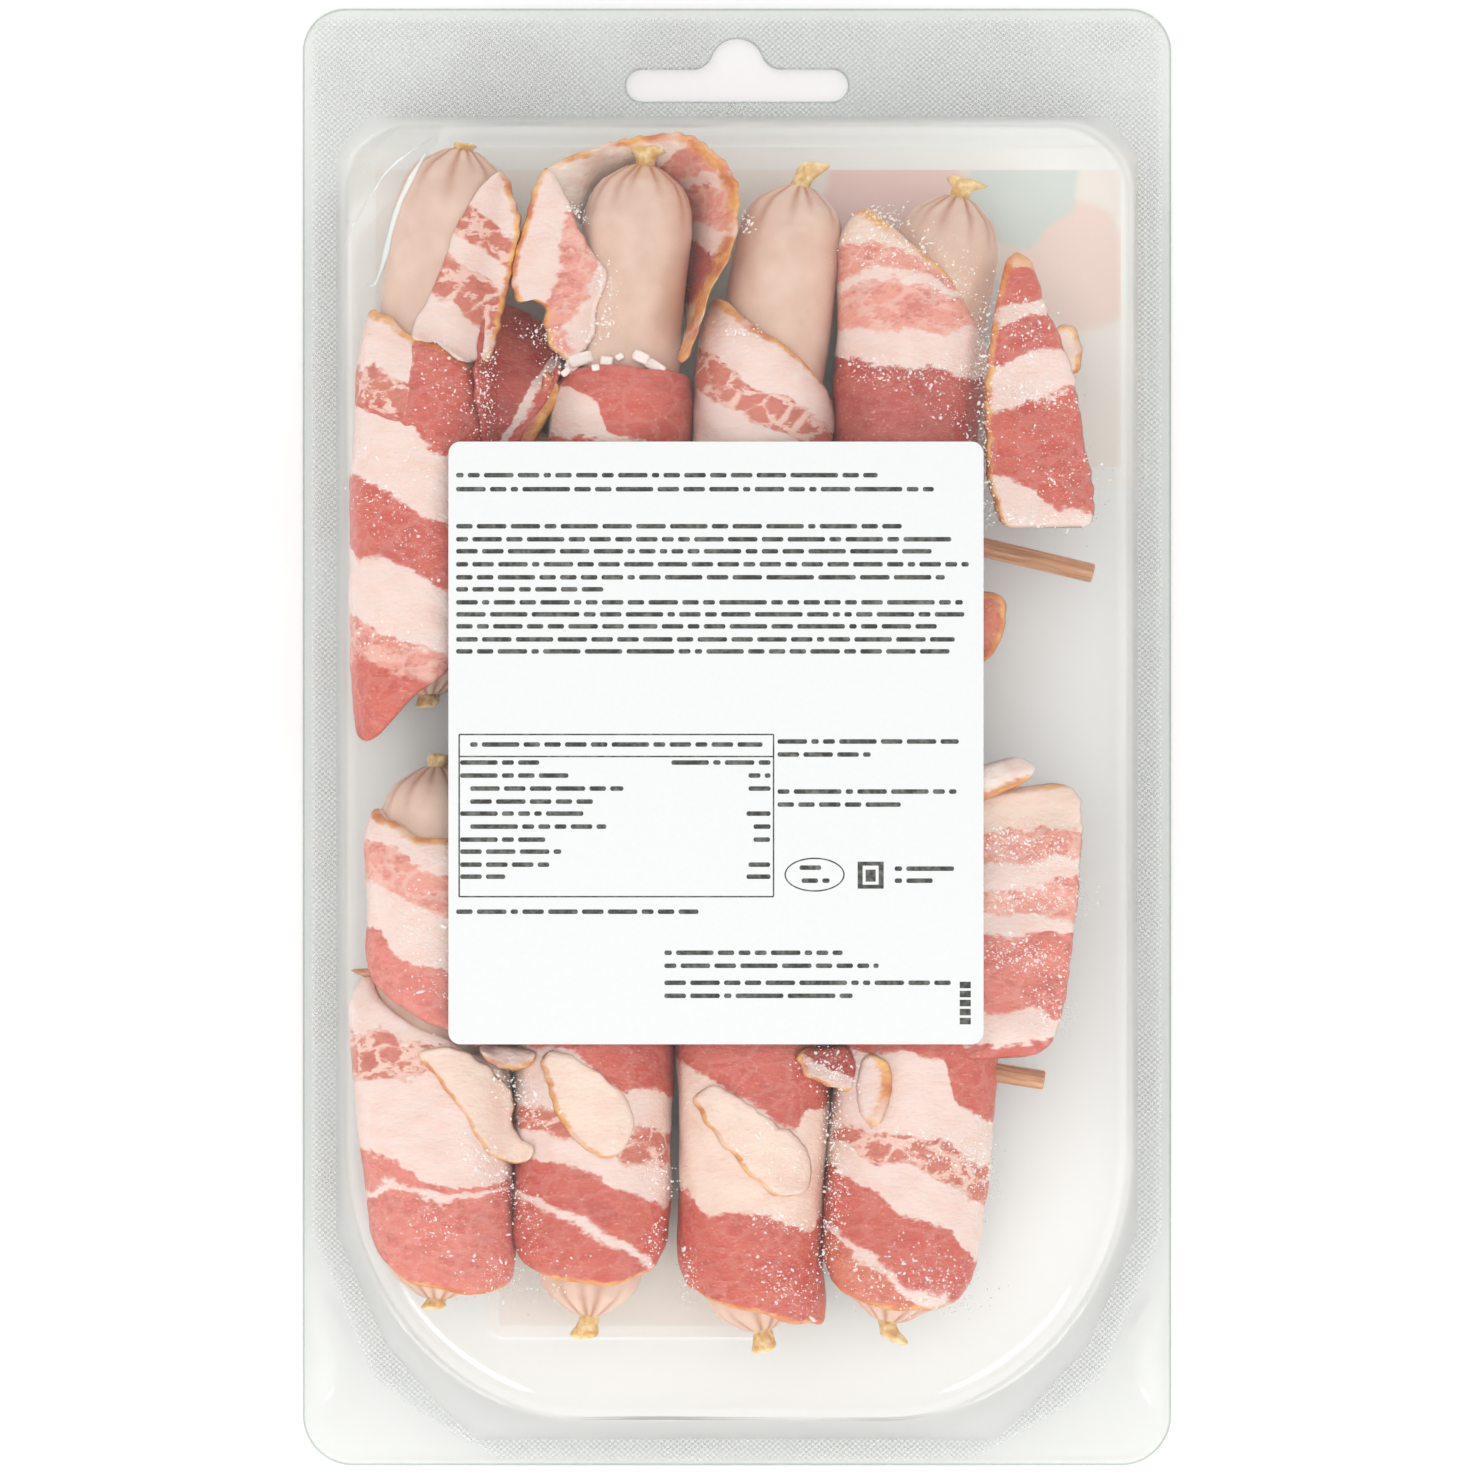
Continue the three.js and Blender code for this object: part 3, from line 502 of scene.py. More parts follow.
def sausage(name, radius, seed):
    line = smooth_line(SAUSAGES[name][1], LINE_POINTS)
    length = distances(steps_of(line))
    first, last = TIES[name][0], length[-1] - TIES[name][1]
    ends = np.linspace(0, 1, END_ROWS) ** 1.6 * END_REACH
    body = np.linspace(first + END_REACH, last - END_REACH, BODY_ROWS)[1:-1]
    run = np.concatenate([first + ends, body, last - ends[::-1]])
    x, y = (np.interp(run, length, line[:, k]) for k in (0, 1))
    way = np.gradient(np.stack([x, y], -1), run, axis=0)
    way /= np.linalg.norm(way, axis=1)[:, None]
    from_tie = np.minimum(run - first, last - run)
    reach = np.interp(from_tie, *zip(*SHOULDER)) * radius
    turn = np.linspace(0, 2 * math.pi, AROUND, endpoint=False)[None, :]
    rng = np.random.default_rng(seed)
    gathered = np.zeros((len(run), AROUND))
    scatter = rng.uniform(-PLEAT_SCATTER, PLEAT_SCATTER, PLEATS)
    for place in np.arange(PLEATS) * 2 * math.pi / PLEATS + scatter:
        off = np.abs((turn - place + math.pi) % (2 * math.pi) - math.pi)
        deep = np.clip(1 - from_tie / rng.uniform(*PLEAT_REACH), 0, 1)[:, None]
        gathered = np.maximum(gathered, np.exp(-((off / PLEAT_HALF_ANGLE) ** 2)) * deep)
    wide = reach[:, None] - PLEAT_DEPTH * gathered * np.clip(from_tie[:, None] / PLEAT_START, 0.3, 1)
    centre = np.stack([x, y, np.full_like(x, LEVEL)], -1)[:, None, :]
    side = np.stack([way[:, 1], -way[:, 0], np.zeros_like(x)], -1)[:, None, :]
    up = np.array([0, 0, 1.0])
    ring = centre + wide[..., None] * (np.cos(turn)[..., None] * side + np.sin(turn)[..., None] * up)
    ring += CASING_RELIEF * ripple(ring, 16, seed + 5)[..., None] * (ring - centre) / radius
    rows = len(run)
    points = np.concatenate([ring.reshape(-1, 3), centre[[0, -1], 0]])
    faces = grid_faces(rows, AROUND, round_columns=True)
    for j in range(AROUND):
        k = (j + 1) % AROUND
        faces.append((rows * AROUND, j, k))
        faces.append((rows * AROUND + 1, (rows - 1) * AROUND + k, (rows - 1) * AROUND + j))
    # The pleat depth, which the casing reads to paint shade into the folds.
    pleats = np.concatenate([np.clip(gathered, 0, 1).ravel(), [0, 0]])
    return make_piece("sausage_" + name, points, faces, {"pleat_shade": pleats})


for order, name in enumerate(SAUSAGES):
    piece = sausage(name, SAUSAGES[name][0], 20 + order)
    settle(piece, CASING, "sausage_casing", "sausage_" + name)
print("sausages done")

# %% [markdown]
# ## Knots
# Past the tie the casing flares into a small crinkled tuft, dried to a golden yellow. Each is a
# short flattened tube that narrows at the tie, swells, splays and curls a little to one side.

# %% Knot finish and tufts
bench = Bench("dried_casing")
stain = bench.noise(1.4, 4)
gold = bench.mix(bench.ramp(stain, 0.3, 0.7), tone(224, 180, 110), tone(249, 226, 182))
DRIED_CASING = bench.set(
    Base_Color=gold,
    Roughness=bench.ramp(stain, 0.2, 0.8, 0.35, 0.6),
    Specular_IOR_Level=0.4,
    Subsurface_Weight=0.3,
    Subsurface_Radius=(1.0, 0.6, 0.3),
    Subsurface_Scale=0.002,
    Normal=bench.bump(bench.noise(0.5, 3), 0.15),
)
# Reach past the tie in millimetres, half width at the tip, and sideways curl.
TUFTS = {
    "upper_1": (1.6, 1.9, 0.6), "upper_2": (4.0, 3.9, -0.2),
    "upper_3": (5.0, 2.3, 2.8), "upper_4": (3.8, 3.5, 0.9),
    "lower_1": (2.2, 1.8, 0.6), "lower_2": (4.4, 2.2, 1.2),
    "lower_3": (4.2, 2.0, 0.6), "lower_4": (3.8, 2.0, -2.6),
}
HIDDEN_TUFT = (2.6, 1.8, 0.5)  # the knots under the label and between the rows are all alike
TUFT_ROWS = 18
TUFT_SIDES = 28
TUFT_SHARES = [0, 0.12, 0.3, 0.5, 0.75, 0.92, 1]
TUFT_THICKNESS = [2.1, 1.8, 1.7, 1.5, 1.3, 1.0, 0.4]
TUFT_RISE = 2.2


def tuft(name, upper, seed):
    reach, splay, curl = TUFTS[name] if upper == name.startswith("upper") else HIDDEN_TUFT
    line = smooth_line(SAUSAGES[name][1], 300)
    line = line if upper else line[::-1]
    way = line[0] - line[12]
    way /= np.linalg.norm(way)
    length = distances(steps_of(line))
    past_tie = TIES[name][0 if upper else 1] + 0.5
    tie = np.array([np.interp(past_tie, length, line[:, k]) for k in (0, 1)])
    across = np.array([way[1], -way[0]])
    share = np.linspace(0, 1, TUFT_ROWS)[:, None]
    turn = np.linspace(0, 2 * math.pi, TUFT_SIDES, endpoint=False)[None, :]
    wide = np.interp(share, TUFT_SHARES, [2.1, 1.7, 1.7, 1.8, 0.7 * splay + 0.7, splay, 0.7 * splay])
    thick = np.interp(share, TUFT_SHARES, TUFT_THICKNESS)
    crinkle = 1 + 0.12 * np.sin(5 * turn + seed) * share + 0.08 * np.sin(9 * turn + 2 * seed + 4 * share)
    bend = curl * share**2
    x = tie[0] + way[0] * reach * share + across[0] * (bend + wide * crinkle * np.cos(turn))
    y = tie[1] + way[1] * reach * share + across[1] * (bend + wide * crinkle * np.cos(turn))
    z = LEVEL + TUFT_RISE * share + thick * crinkle * np.sin(turn)
    points = np.stack([x + 0 * turn, y + 0 * turn, z], -1)
    points += 0.14 * ripple(points, 1.6, seed)[..., None]
    end = "top" if upper else "end"
    return make_piece(f"tuft_{name}_{end}", points.reshape(-1, 3), closed_tube(TUFT_ROWS, TUFT_SIDES))


for order, name in enumerate(SAUSAGES):
    for upper in (True, False):
        settle(tuft(name, upper, 2 * order + upper), DRIED_CASING, "sausage_casing")
print("tufts done")

# %% [markdown]
# ## Bacon finish
# A rasher is made of long bands: white fat, pink lean, streaky lean where threads of fat cross
# it, and a golden smoked rind along one edge. The bands follow the rasher, not the wrap, so each
# piece of bacon carries a layer called band, the distance in millimetres from its first band,
# and its own colour ramp reads that distance. Noise bends the borders, a cell pattern draws the
# fat between the muscle bundles, and a second layer called rim says how far a point is from a
# smoked edge.

# %% Tones of bacon
TONES = {
    "fat": tone(239, 214, 206),
    "cream": tone(243, 217, 202),
    # shaded is painted light: a fat tone lighter than the fat itself, which lifts the hood and the roll that
    # hang in shade.
    "shaded": tone(253, 238, 228),
    "lean": tone(203, 88, 75),
    "rosy": tone(221, 126, 114),
    "deep": tone(178, 68, 62),
    "pale": tone(232, 162, 148),
    "streaky": tone(204, 118, 100),
    "warm": tone(216, 122, 94),
    "rind": tone(228, 164, 106),
}
# How strongly fat parts the bundles of each kind of lean.
THREADS = {"streaky": 0.9, "pale": 0.45, "lean": 0.12, "rosy": 0.12, "deep": 0.06, "warm": 0.1}
LEAN_KINDS = tuple(THREADS)
print(len(TONES), "tones,", len(LEAN_KINDS), "of them lean")


# %% The recipe for one rasher
def fill_ramp(node, stops):
    """Gives a colour ramp these stops of place and colour, and returns its colour."""
    ramp = node.color_ramp
    while len(ramp.elements) > 1:
        ramp.elements.remove(ramp.elements[-1])
    ramp.elements[0].position = max(0.0, stops[0][0])
    ramp.elements[0].color = stops[0][1]
    for position, colour in stops[1:]:
        ramp.elements.new(min(1.0, max(0.0, position))).color = colour
    return node.outputs["Color"]


def rasher_finish(name, kinds, widths, seed):
    """Bacon whose bands, of the given kinds and widths in millimetres, follow the band layer."""
    bench = Bench("bacon_" + name)
    bench.place = bench.vector("ADD", bench.place, (seed * 37.0, seed * 11.0, 0))
    total = sum(widths)
    slow = bench.noise(6.5, 2, (0.8, 1.2, 0.8))
    fine = bench.noise(1.2, 3, (0.7, 1.3, 0.7), 0.62)
    wander = bench.math("MULTIPLY_ADD", slow, 4.6, -2.3)
    nibble = bench.math("MULTIPLY_ADD", fine, 2.6, -1.3)
    shifted = bench.math("ADD", bench.layer("band"), bench.math("ADD", wander, nibble))
    along = bench.math("DIVIDE", shifted, total)
    edges = np.cumsum(widths)[:-1] / total
    soft = 0.3 / total
    # The second ramp's red says how strong the threads of fat are, and its green marks the lean.
    marks = [(THREADS.get(k, 0), float(k in LEAN_KINDS), float(k == "rind"), 1.0) for k in kinds]
    colours = [(0, TONES[kinds[0]])]
    recipe = [(0, marks[0])]
    for place, (before, after), (old, new) in zip(edges, zip(kinds, kinds[1:]), zip(marks, marks[1:])):
        colours += [(place - soft, TONES[before]), (place + soft, TONES[after])]
        recipe += [(place - soft, old), (place + soft, new)]
    colour = fill_ramp(bench.add("ShaderNodeValToRGB", {"Fac": along}), colours)
    marks = fill_ramp(bench.add("ShaderNodeValToRGB", {"Fac": along}), recipe)
    parts = bench.add("ShaderNodeSeparateColor", {"Color": marks})
    threads, leanness = parts.outputs["Red"], parts.outputs["Green"]

    ruffled = bench.vector("ADD", bench.place, bench.math("MULTIPLY", fine, 3.0))
    bundles = bench.add(
        "ShaderNodeTexVoronoi",
        {"Vector": bench.scaled(ruffled, (0.75, 1.2, 0.8)), "Scale": 0.24, "Randomness": 1.0},
        feature="DISTANCE_TO_EDGE",
    ).outputs["Distance"]
    patch = bench.noise(4.2, 3, (0.7, 1.4, 0.8))
    uneven = bench.math("MULTIPLY_ADD", patch, 0.5, -0.25)
    between = bench.ramp(bench.math("ADD", bundles, uneven), 0.13, 0.02)
    grey = bench.ramp(patch, 0.3, 0.7)
    greyed = bench.math("MULTIPLY", leanness, bench.math("MULTIPLY", grey, 0.3))
    colour = bench.mix(greyed, colour, tone(228, 144, 126))
    dark = bench.ramp(bench.math("MULTIPLY_ADD", fine, 0.6, bench.math("MULTIPLY", slow, 0.5)), 0.52, 0.7)
    darkened = bench.math("MULTIPLY", bench.math("MULTIPLY", dark, leanness), 0.5)
    colour = bench.mix(darkened, colour, tone(182, 84, 78))
    # Painted glints: small pale specks on the lean stand for light caught by its moisture.
    painted_wet_glint = bench.math("MULTIPLY", bench.ramp(bench.noise(0.5, 2, (0.7, 1.2, 0.8)), 0.6, 0.72), leanness)
    colour = bench.mix(bench.math("MULTIPLY", painted_wet_glint, 0.3), colour, tone(246, 206, 196))
    fatty = bench.math("SUBTRACT", 1.0, leanness)
    blush = bench.math("MULTIPLY", bench.ramp(patch, 0.42, 0.66), fatty)
    colour = bench.mix(bench.math("MULTIPLY", blush, 0.5), colour, tone(236, 200, 186))
    colour = bench.mix(bench.math("MULTIPLY", between, threads), colour, tone(241, 204, 190))
    ragged = bench.math("ADD", bench.layer("rim"), bench.math("MULTIPLY_ADD", fine, 1.6, -0.8))
    smoked = bench.math("MULTIPLY", bench.ramp(ragged, 1.6, 0.7), bench.ramp(slow, 0.34, 0.52, 0.35, 1.0))
    rind = bench.mix(grey, tone(240, 186, 112), tone(204, 114, 60))
    colour = bench.mix(bench.math("MULTIPLY", smoked, 0.95), colour, rind)
    relief = bench.noise(1.0, 3, (0.7, 1.3, 0.7))
    return bench.set(
        Base_Color=colour,
        Roughness=bench.ramp(patch, 0.3, 0.7, 0.34, 0.52),
        Specular_IOR_Level=0.4,
        Subsurface_Weight=0.15,
        Subsurface_Radius=(1.0, 0.35, 0.25),
        Subsurface_Scale=0.002,
        Normal=bench.bump(relief, 0.3),
    )


# %% [markdown]
# The band layer comes from lines drawn across the rasher. Between two lines the distance grows
# evenly, whatever the width there, so that a band that narrows stays one band.

# %% Reading the bands
def read_bands(bands, x, y, sideways=False):
    """Distance from the first band at each point, with the kinds and mean widths of the bands.

    Each band is its kind and the line that ends it, in picture points. The last has no line.
    """
    run, level = (y, x) if sideways else (x, -y)
    kinds = [kind for kind, _ in bands]
    low, high = level.min(), level.max()
    lines = [np.full(level.shape, low)]
    for _, border in bands[:-1]:
        line = places(border)
        across, down = (line[:, 1], line[:, 0]) if sideways else (line[:, 0], -line[:, 1])
        order = np.argsort(across, kind="stable")
        lines.append(np.maximum(np.interp(run, across[order], down[order]), lines[-1] + 0.001))
    lines.append(np.maximum(np.full(level.shape, high), lines[-1] + 0.5))
    widths = [max(0.4, float((b - a).mean())) for a, b in zip(lines, lines[1:])]
    band, start = np.zeros(level.shape), 0.0
    for a, b, width in zip(lines, lines[1:], widths):
        share = (level - a) / (b - a)
        band = np.where(share > 0, start + np.clip(share, 0, 1) * width, band)
        start += width
    return band, kinds, widths


# %% [markdown]
# ## Wraps
# Each wrap is a rasher wound round its sausage until it closes, pressed flat on top by the
# tray. A tube with a squarish round section gives that flat crown. The edges hug the sausage,
# the rasher's own thickness is rolled over at both ends, and slow ripples keep it from looking
# turned on a lathe.

# %% Band plans of the wraps
# Every line below runs across one wrap, in picture points, and ends the band before it.
WRAP_BANDS = {
    "upper_1": [
        ("fat", [(340, 358), (375, 371), (400, 386), (410, 388), (414, 338), (470, 345), (500, 362)]),
        ("streaky", [(340, 393), (365, 407), (390, 418), (410, 424), (414, 338), (470, 345), (500, 362)]),
        ("lean", [(340, 393), (365, 407), (390, 418), (410, 426), (425, 448), (445, 452), (500, 470)]),
        ("fat", [(340, 470), (362, 480), (380, 490), (400, 500), (420, 514), (447, 527), (500, 545)]),
        ("lean", [(340, 542), (360, 556), (385, 563), (410, 572), (447, 590), (500, 610)]),
        ("fat", [(340, 612), (360, 622), (380, 635), (400, 643), (430, 650), (447, 655), (500, 672)]),
        ("pale", [(340, 660), (365, 660), (390, 672), (410, 684), (500, 690)]),
        ("lean", None),
    ],
    "upper_2": [
        ("lean", [(540, 372), (560, 384), (580, 394), (598, 402), (608, 432), (640, 446), (695, 448)]),
        ("fat", [(540, 440), (600, 438), (640, 448), (695, 450)]),
        ("lean", [(540, 500), (695, 500)]),
        ("fat", [(540, 540), (695, 530)]),
        ("lean", None),
    ],
    "upper_3": [
        ("fat", [(695, 345), (712, 352), (722, 364), (740, 378), (760, 392), (790, 404), (815, 416),
                 (835, 432)]),
        ("streaky", [(695, 385), (720, 400), (735, 412), (760, 422), (790, 436), (835, 456)]),
        ("fat", [(695, 470), (835, 500)]),
        ("lean", [(695, 540), (835, 560)]),
        ("fat", None),
    ],
    "upper_4": [
        ("cream", [(830, 250), (860, 243), (880, 240), (900, 245), (930, 264), (960, 280)]),
        ("pale", [(830, 284), (870, 270), (900, 268), (930, 276), (950, 292)]),
        ("fat", [(830, 294), (870, 285), (900, 281), (925, 289), (950, 300)]),
        ("pale", [(830, 329), (860, 325), (880, 332), (920, 331), (945, 336), (960, 326), (990, 320)]),
        ("fat", [(830, 354), (860, 362), (890, 373), (930, 363), (950, 373), (990, 382)]),
        ("deep", [(830, 470), (990, 480)]),
        ("fat", [(830, 510), (990, 520)]),
        ("deep", None),
    ],
    "lower_1_top": [
        ("fat", [(380, 842), (395, 850), (410, 862), (425, 870), (447, 877), (500, 890)]),
        ("pale", [(380, 880), (395, 893), (410, 902), (430, 912), (447, 918), (500, 930)]),
        ("fat", [(380, 932), (390, 950), (400, 957), (415, 964), (447, 972), (500, 980)]),
        ("rosy", None),
    ],
    "lower_1": [
        ("fat", [(345, 1026), (385, 1030), (405, 1042), (440, 1046), (520, 1050)]),
        ("streaky", [(345, 1082), (380, 1078), (412, 1084), (432, 1072), (440, 1048), (520, 1051)]),
        ("fat", [(345, 1136), (362, 1150), (395, 1158), (410, 1168), (422, 1182), (440, 1190),
                 (520, 1188)]),
        ("rosy", [(345, 1172), (372, 1196), (385, 1183), (405, 1180), (422, 1186), (440, 1192),
                  (520, 1189)]),
        ("fat", [(345, 1196), (372, 1204), (390, 1188), (418, 1194), (430, 1213), (447, 1212),
                 (457, 1198), (520, 1190)]),
        ("rosy", None),
    ],
    "lower_2": [
        ("lean", [(510, 1040), (545, 1046), (590, 1056), (605, 1080), (625, 1094), (650, 1092),
                  (675, 1100)]),
        ("fat", [(510, 1098), (560, 1110), (600, 1128), (625, 1136), (640, 1128), (675, 1138)]),
        ("streaky", [(510, 1128), (560, 1140), (600, 1130), (622, 1168), (640, 1168), (660, 1160),
                     (675, 1172)]),
        ("fat", [(510, 1152), (535, 1160), (560, 1164), (600, 1180), (640, 1197), (675, 1206)]),
        ("lean", [(510, 1192), (540, 1200), (570, 1213), (600, 1228), (625, 1240), (640, 1252),
                  (675, 1290)]),
        ("fat", [(510, 1194), (540, 1207), (570, 1222), (600, 1239), (625, 1253), (645, 1272),
                 (675, 1304)]),
        ("lean", None),
    ],
    "lower_3": [
        ("lean", [(670, 1052), (690, 1066), (710, 1078), (735, 1095), (760, 1110), (780, 1124),
                  (797, 1130), (806, 1118), (835, 1100)]),
        ("cream", [(670, 1186), (690, 1196), (705, 1212), (735, 1214), (780, 1222), (800, 1232),
                   (815, 1234), (822, 1216), (835, 1150)]),
        ("lean", None),
    ],
    "lower_4": [
        ("lean", [(820, 1046), (900, 1052), (945, 1060), (958, 1110), (985, 1120), (1015, 1134)]),
        ("fat", [(820, 1140), (845, 1128), (870, 1128), (900, 1136), (940, 1142), (965, 1155),
                 (1015, 1180)]),
        ("streaky", [(820, 1142), (848, 1142), (862, 1160), (880, 1167), (910, 1160), (940, 1178),
                     (960, 1195), (1015, 1206)]),
        ("fat", [(820, 1162), (845, 1175), (860, 1186), (880, 1196), (895, 1212), (910, 1222),
                 (940, 1228), (965, 1245), (975, 1262), (1015, 1310)]),
        ("lean", [(820, 1220), (845, 1240), (870, 1252), (890, 1268), (905, 1288), (935, 1298),
                  (1015, 1320)]),
        ("fat", [(820, 1226), (845, 1246), (870, 1262), (890, 1282), (905, 1300), (935, 1312),
                 (1015, 1324)]),
        ("warm", None),
    ],
}
GOLDEN_ENDS = {
    "upper_1": ("top",), "upper_3": ("top",), "upper_4": ("top",), "lower_1_top": ("top",), "upper_2": (),
    "lower_1": ("bottom",), "lower_2": ("bottom",), "lower_3": ("bottom",), "lower_4": ("bottom",),
}
print("bands on the wraps:", sum(len(plan) for plan in WRAP_BANDS.values()))

# %% Wrap bodies
WRAP_COLUMNS = 96
ROW_STEP = 0.9
EDGE_TRAIN = 1.1  # length of the rolled lip at each end
HUG = 0.6  # how much an end of the wrap draws in towards the sausage
HUG_REACH = 3.0
WRAP_GAP = 0.2  # between the wrap and the bare sausage
WRAP_THICKNESS = 1.5
SWELL = 0.42
PUCKER = 0.16
NO_RIM = 50.0  # stands for being nowhere near a smoked edge
# The profile of one wall at an end: in under the edge, over its lip and down to the outside.
# Each row is its distance from the edge and how far in it lies, 0 outside and 1 on the sausage.
LIP = [(3.0, 1.0), (0.7, 0.97), (0.2, 0.8), (0.0, 0.52), (0.15, 0.25), (0.5, 0.08), (EDGE_TRAIN, 0.0)]


def wrap(name, seed):
    sausage_name, _, _, top, bottom = WRAPS[name]
    radius = SAUSAGES[sausage_name][0]
    turn = np.linspace(0, 2 * math.pi, WRAP_COLUMNS, endpoint=False)
    sine, cosine = np.sin(turn), np.cos(turn)
    first, last = wrap_end(top, sine, cosine), wrap_end(bottom, sine, cosine)
    around = np.stack([sine, cosine], -1) * 12
    first = first + 0.5 * ripple(around, 9, seed)
    last = last + 0.5 * ripple(around, 9, seed + 1)
    length = first - last
    outside = int(length.max() / ROW_STEP)
    rows = [(run, depth, 0) for run, depth in LIP]
    rows += [(None, 0, step / outside) for step in range(1, outside)]
    rows += [(run, depth, 1) for run, depth in LIP[::-1]]
    x, y, z, depth_rows = [], [], [], []
    for run, depth, share in rows:
        if run is None:
            along = EDGE_TRAIN + (length - 2 * EDGE_TRAIN) * share
        else:
            along = np.full_like(length, run) if share == 0 else length - run
        here = first - along
        middle, half = wrap_section(name, here)
        off_x = half * np.sign(sine) * np.abs(sine) ** (2 / WRAP_ROUNDNESS)
        off_z = WRAP_HALF_HEIGHT * np.sign(cosine) * np.abs(cosine) ** (2 / WRAP_ROUNDNESS)
        size = np.hypot(off_x, off_z)
        to_end = np.minimum(along, length - along)
        bare = (radius + WRAP_GAP) / size
        pulled = 1 - (1 - (radius + WRAP_THICKNESS) / size) * HUG * np.exp(-((to_end / HUG_REACH) ** 2))
        scale = pulled + (bare - pulled) * depth
        x.append(middle + off_x * scale)
        y.append(here)
        z.append(LEVEL + off_z * scale)
        depth_rows.append(np.full_like(length, depth))
    x, y, z = np.array(x), np.array(y), np.array(z)
    outer = 1 - np.array(depth_rows)
    points = np.stack([x, y, z], -1)
    swell = outer * (SWELL * ripple(points, 15, seed + 2) + PUCKER * ripple(points, 4.5, seed + 3))
    middle, _ = wrap_section(name, y)
    away = np.stack([x - middle, np.zeros_like(x), z - LEVEL], -1)
    away /= np.linalg.norm(away, axis=-1)[..., None]
    points += away * swell[..., None]
    points[..., 2] = np.minimum(points[..., 2], MEAT_CEILING)
    band, kinds, widths = read_bands(WRAP_BANDS[name], points[..., 0], points[..., 1])
    rim = np.full(x.shape, NO_RIM)
    along = first - y
    if "top" in GOLDEN_ENDS[name]:
        rim = np.minimum(rim, along + 2.0 * (1 - outer))
    if "bottom" in GOLDEN_ENDS[name]:
        rim = np.minimum(rim, 1.5 * (length - along) + 2.0 * (1 - outer))
    faces = grid_faces(len(rows), WRAP_COLUMNS, round_rows=True, round_columns=True)
    piece = make_piece("wrap_" + name, points.reshape(-1, 3), faces, {"band": band, "rim": rim})
    settle(piece, rasher_finish("wrap_" + name, kinds, widths, seed), "bacon", "bacon_wrap_" + name)


for order, name in enumerate(WRAPS):
    wrap(name, 40 + order)
print("wraps done")

# %% [markdown]
# ## Flaps and free ends
# Where a rasher ends, its tip lies over the wrap beside it. Each flap is a strip between a left
# and a right edge, draped on what is under it, with its thickness rounded off at the border so
# that it catches the light like a cut edge and not like paper.

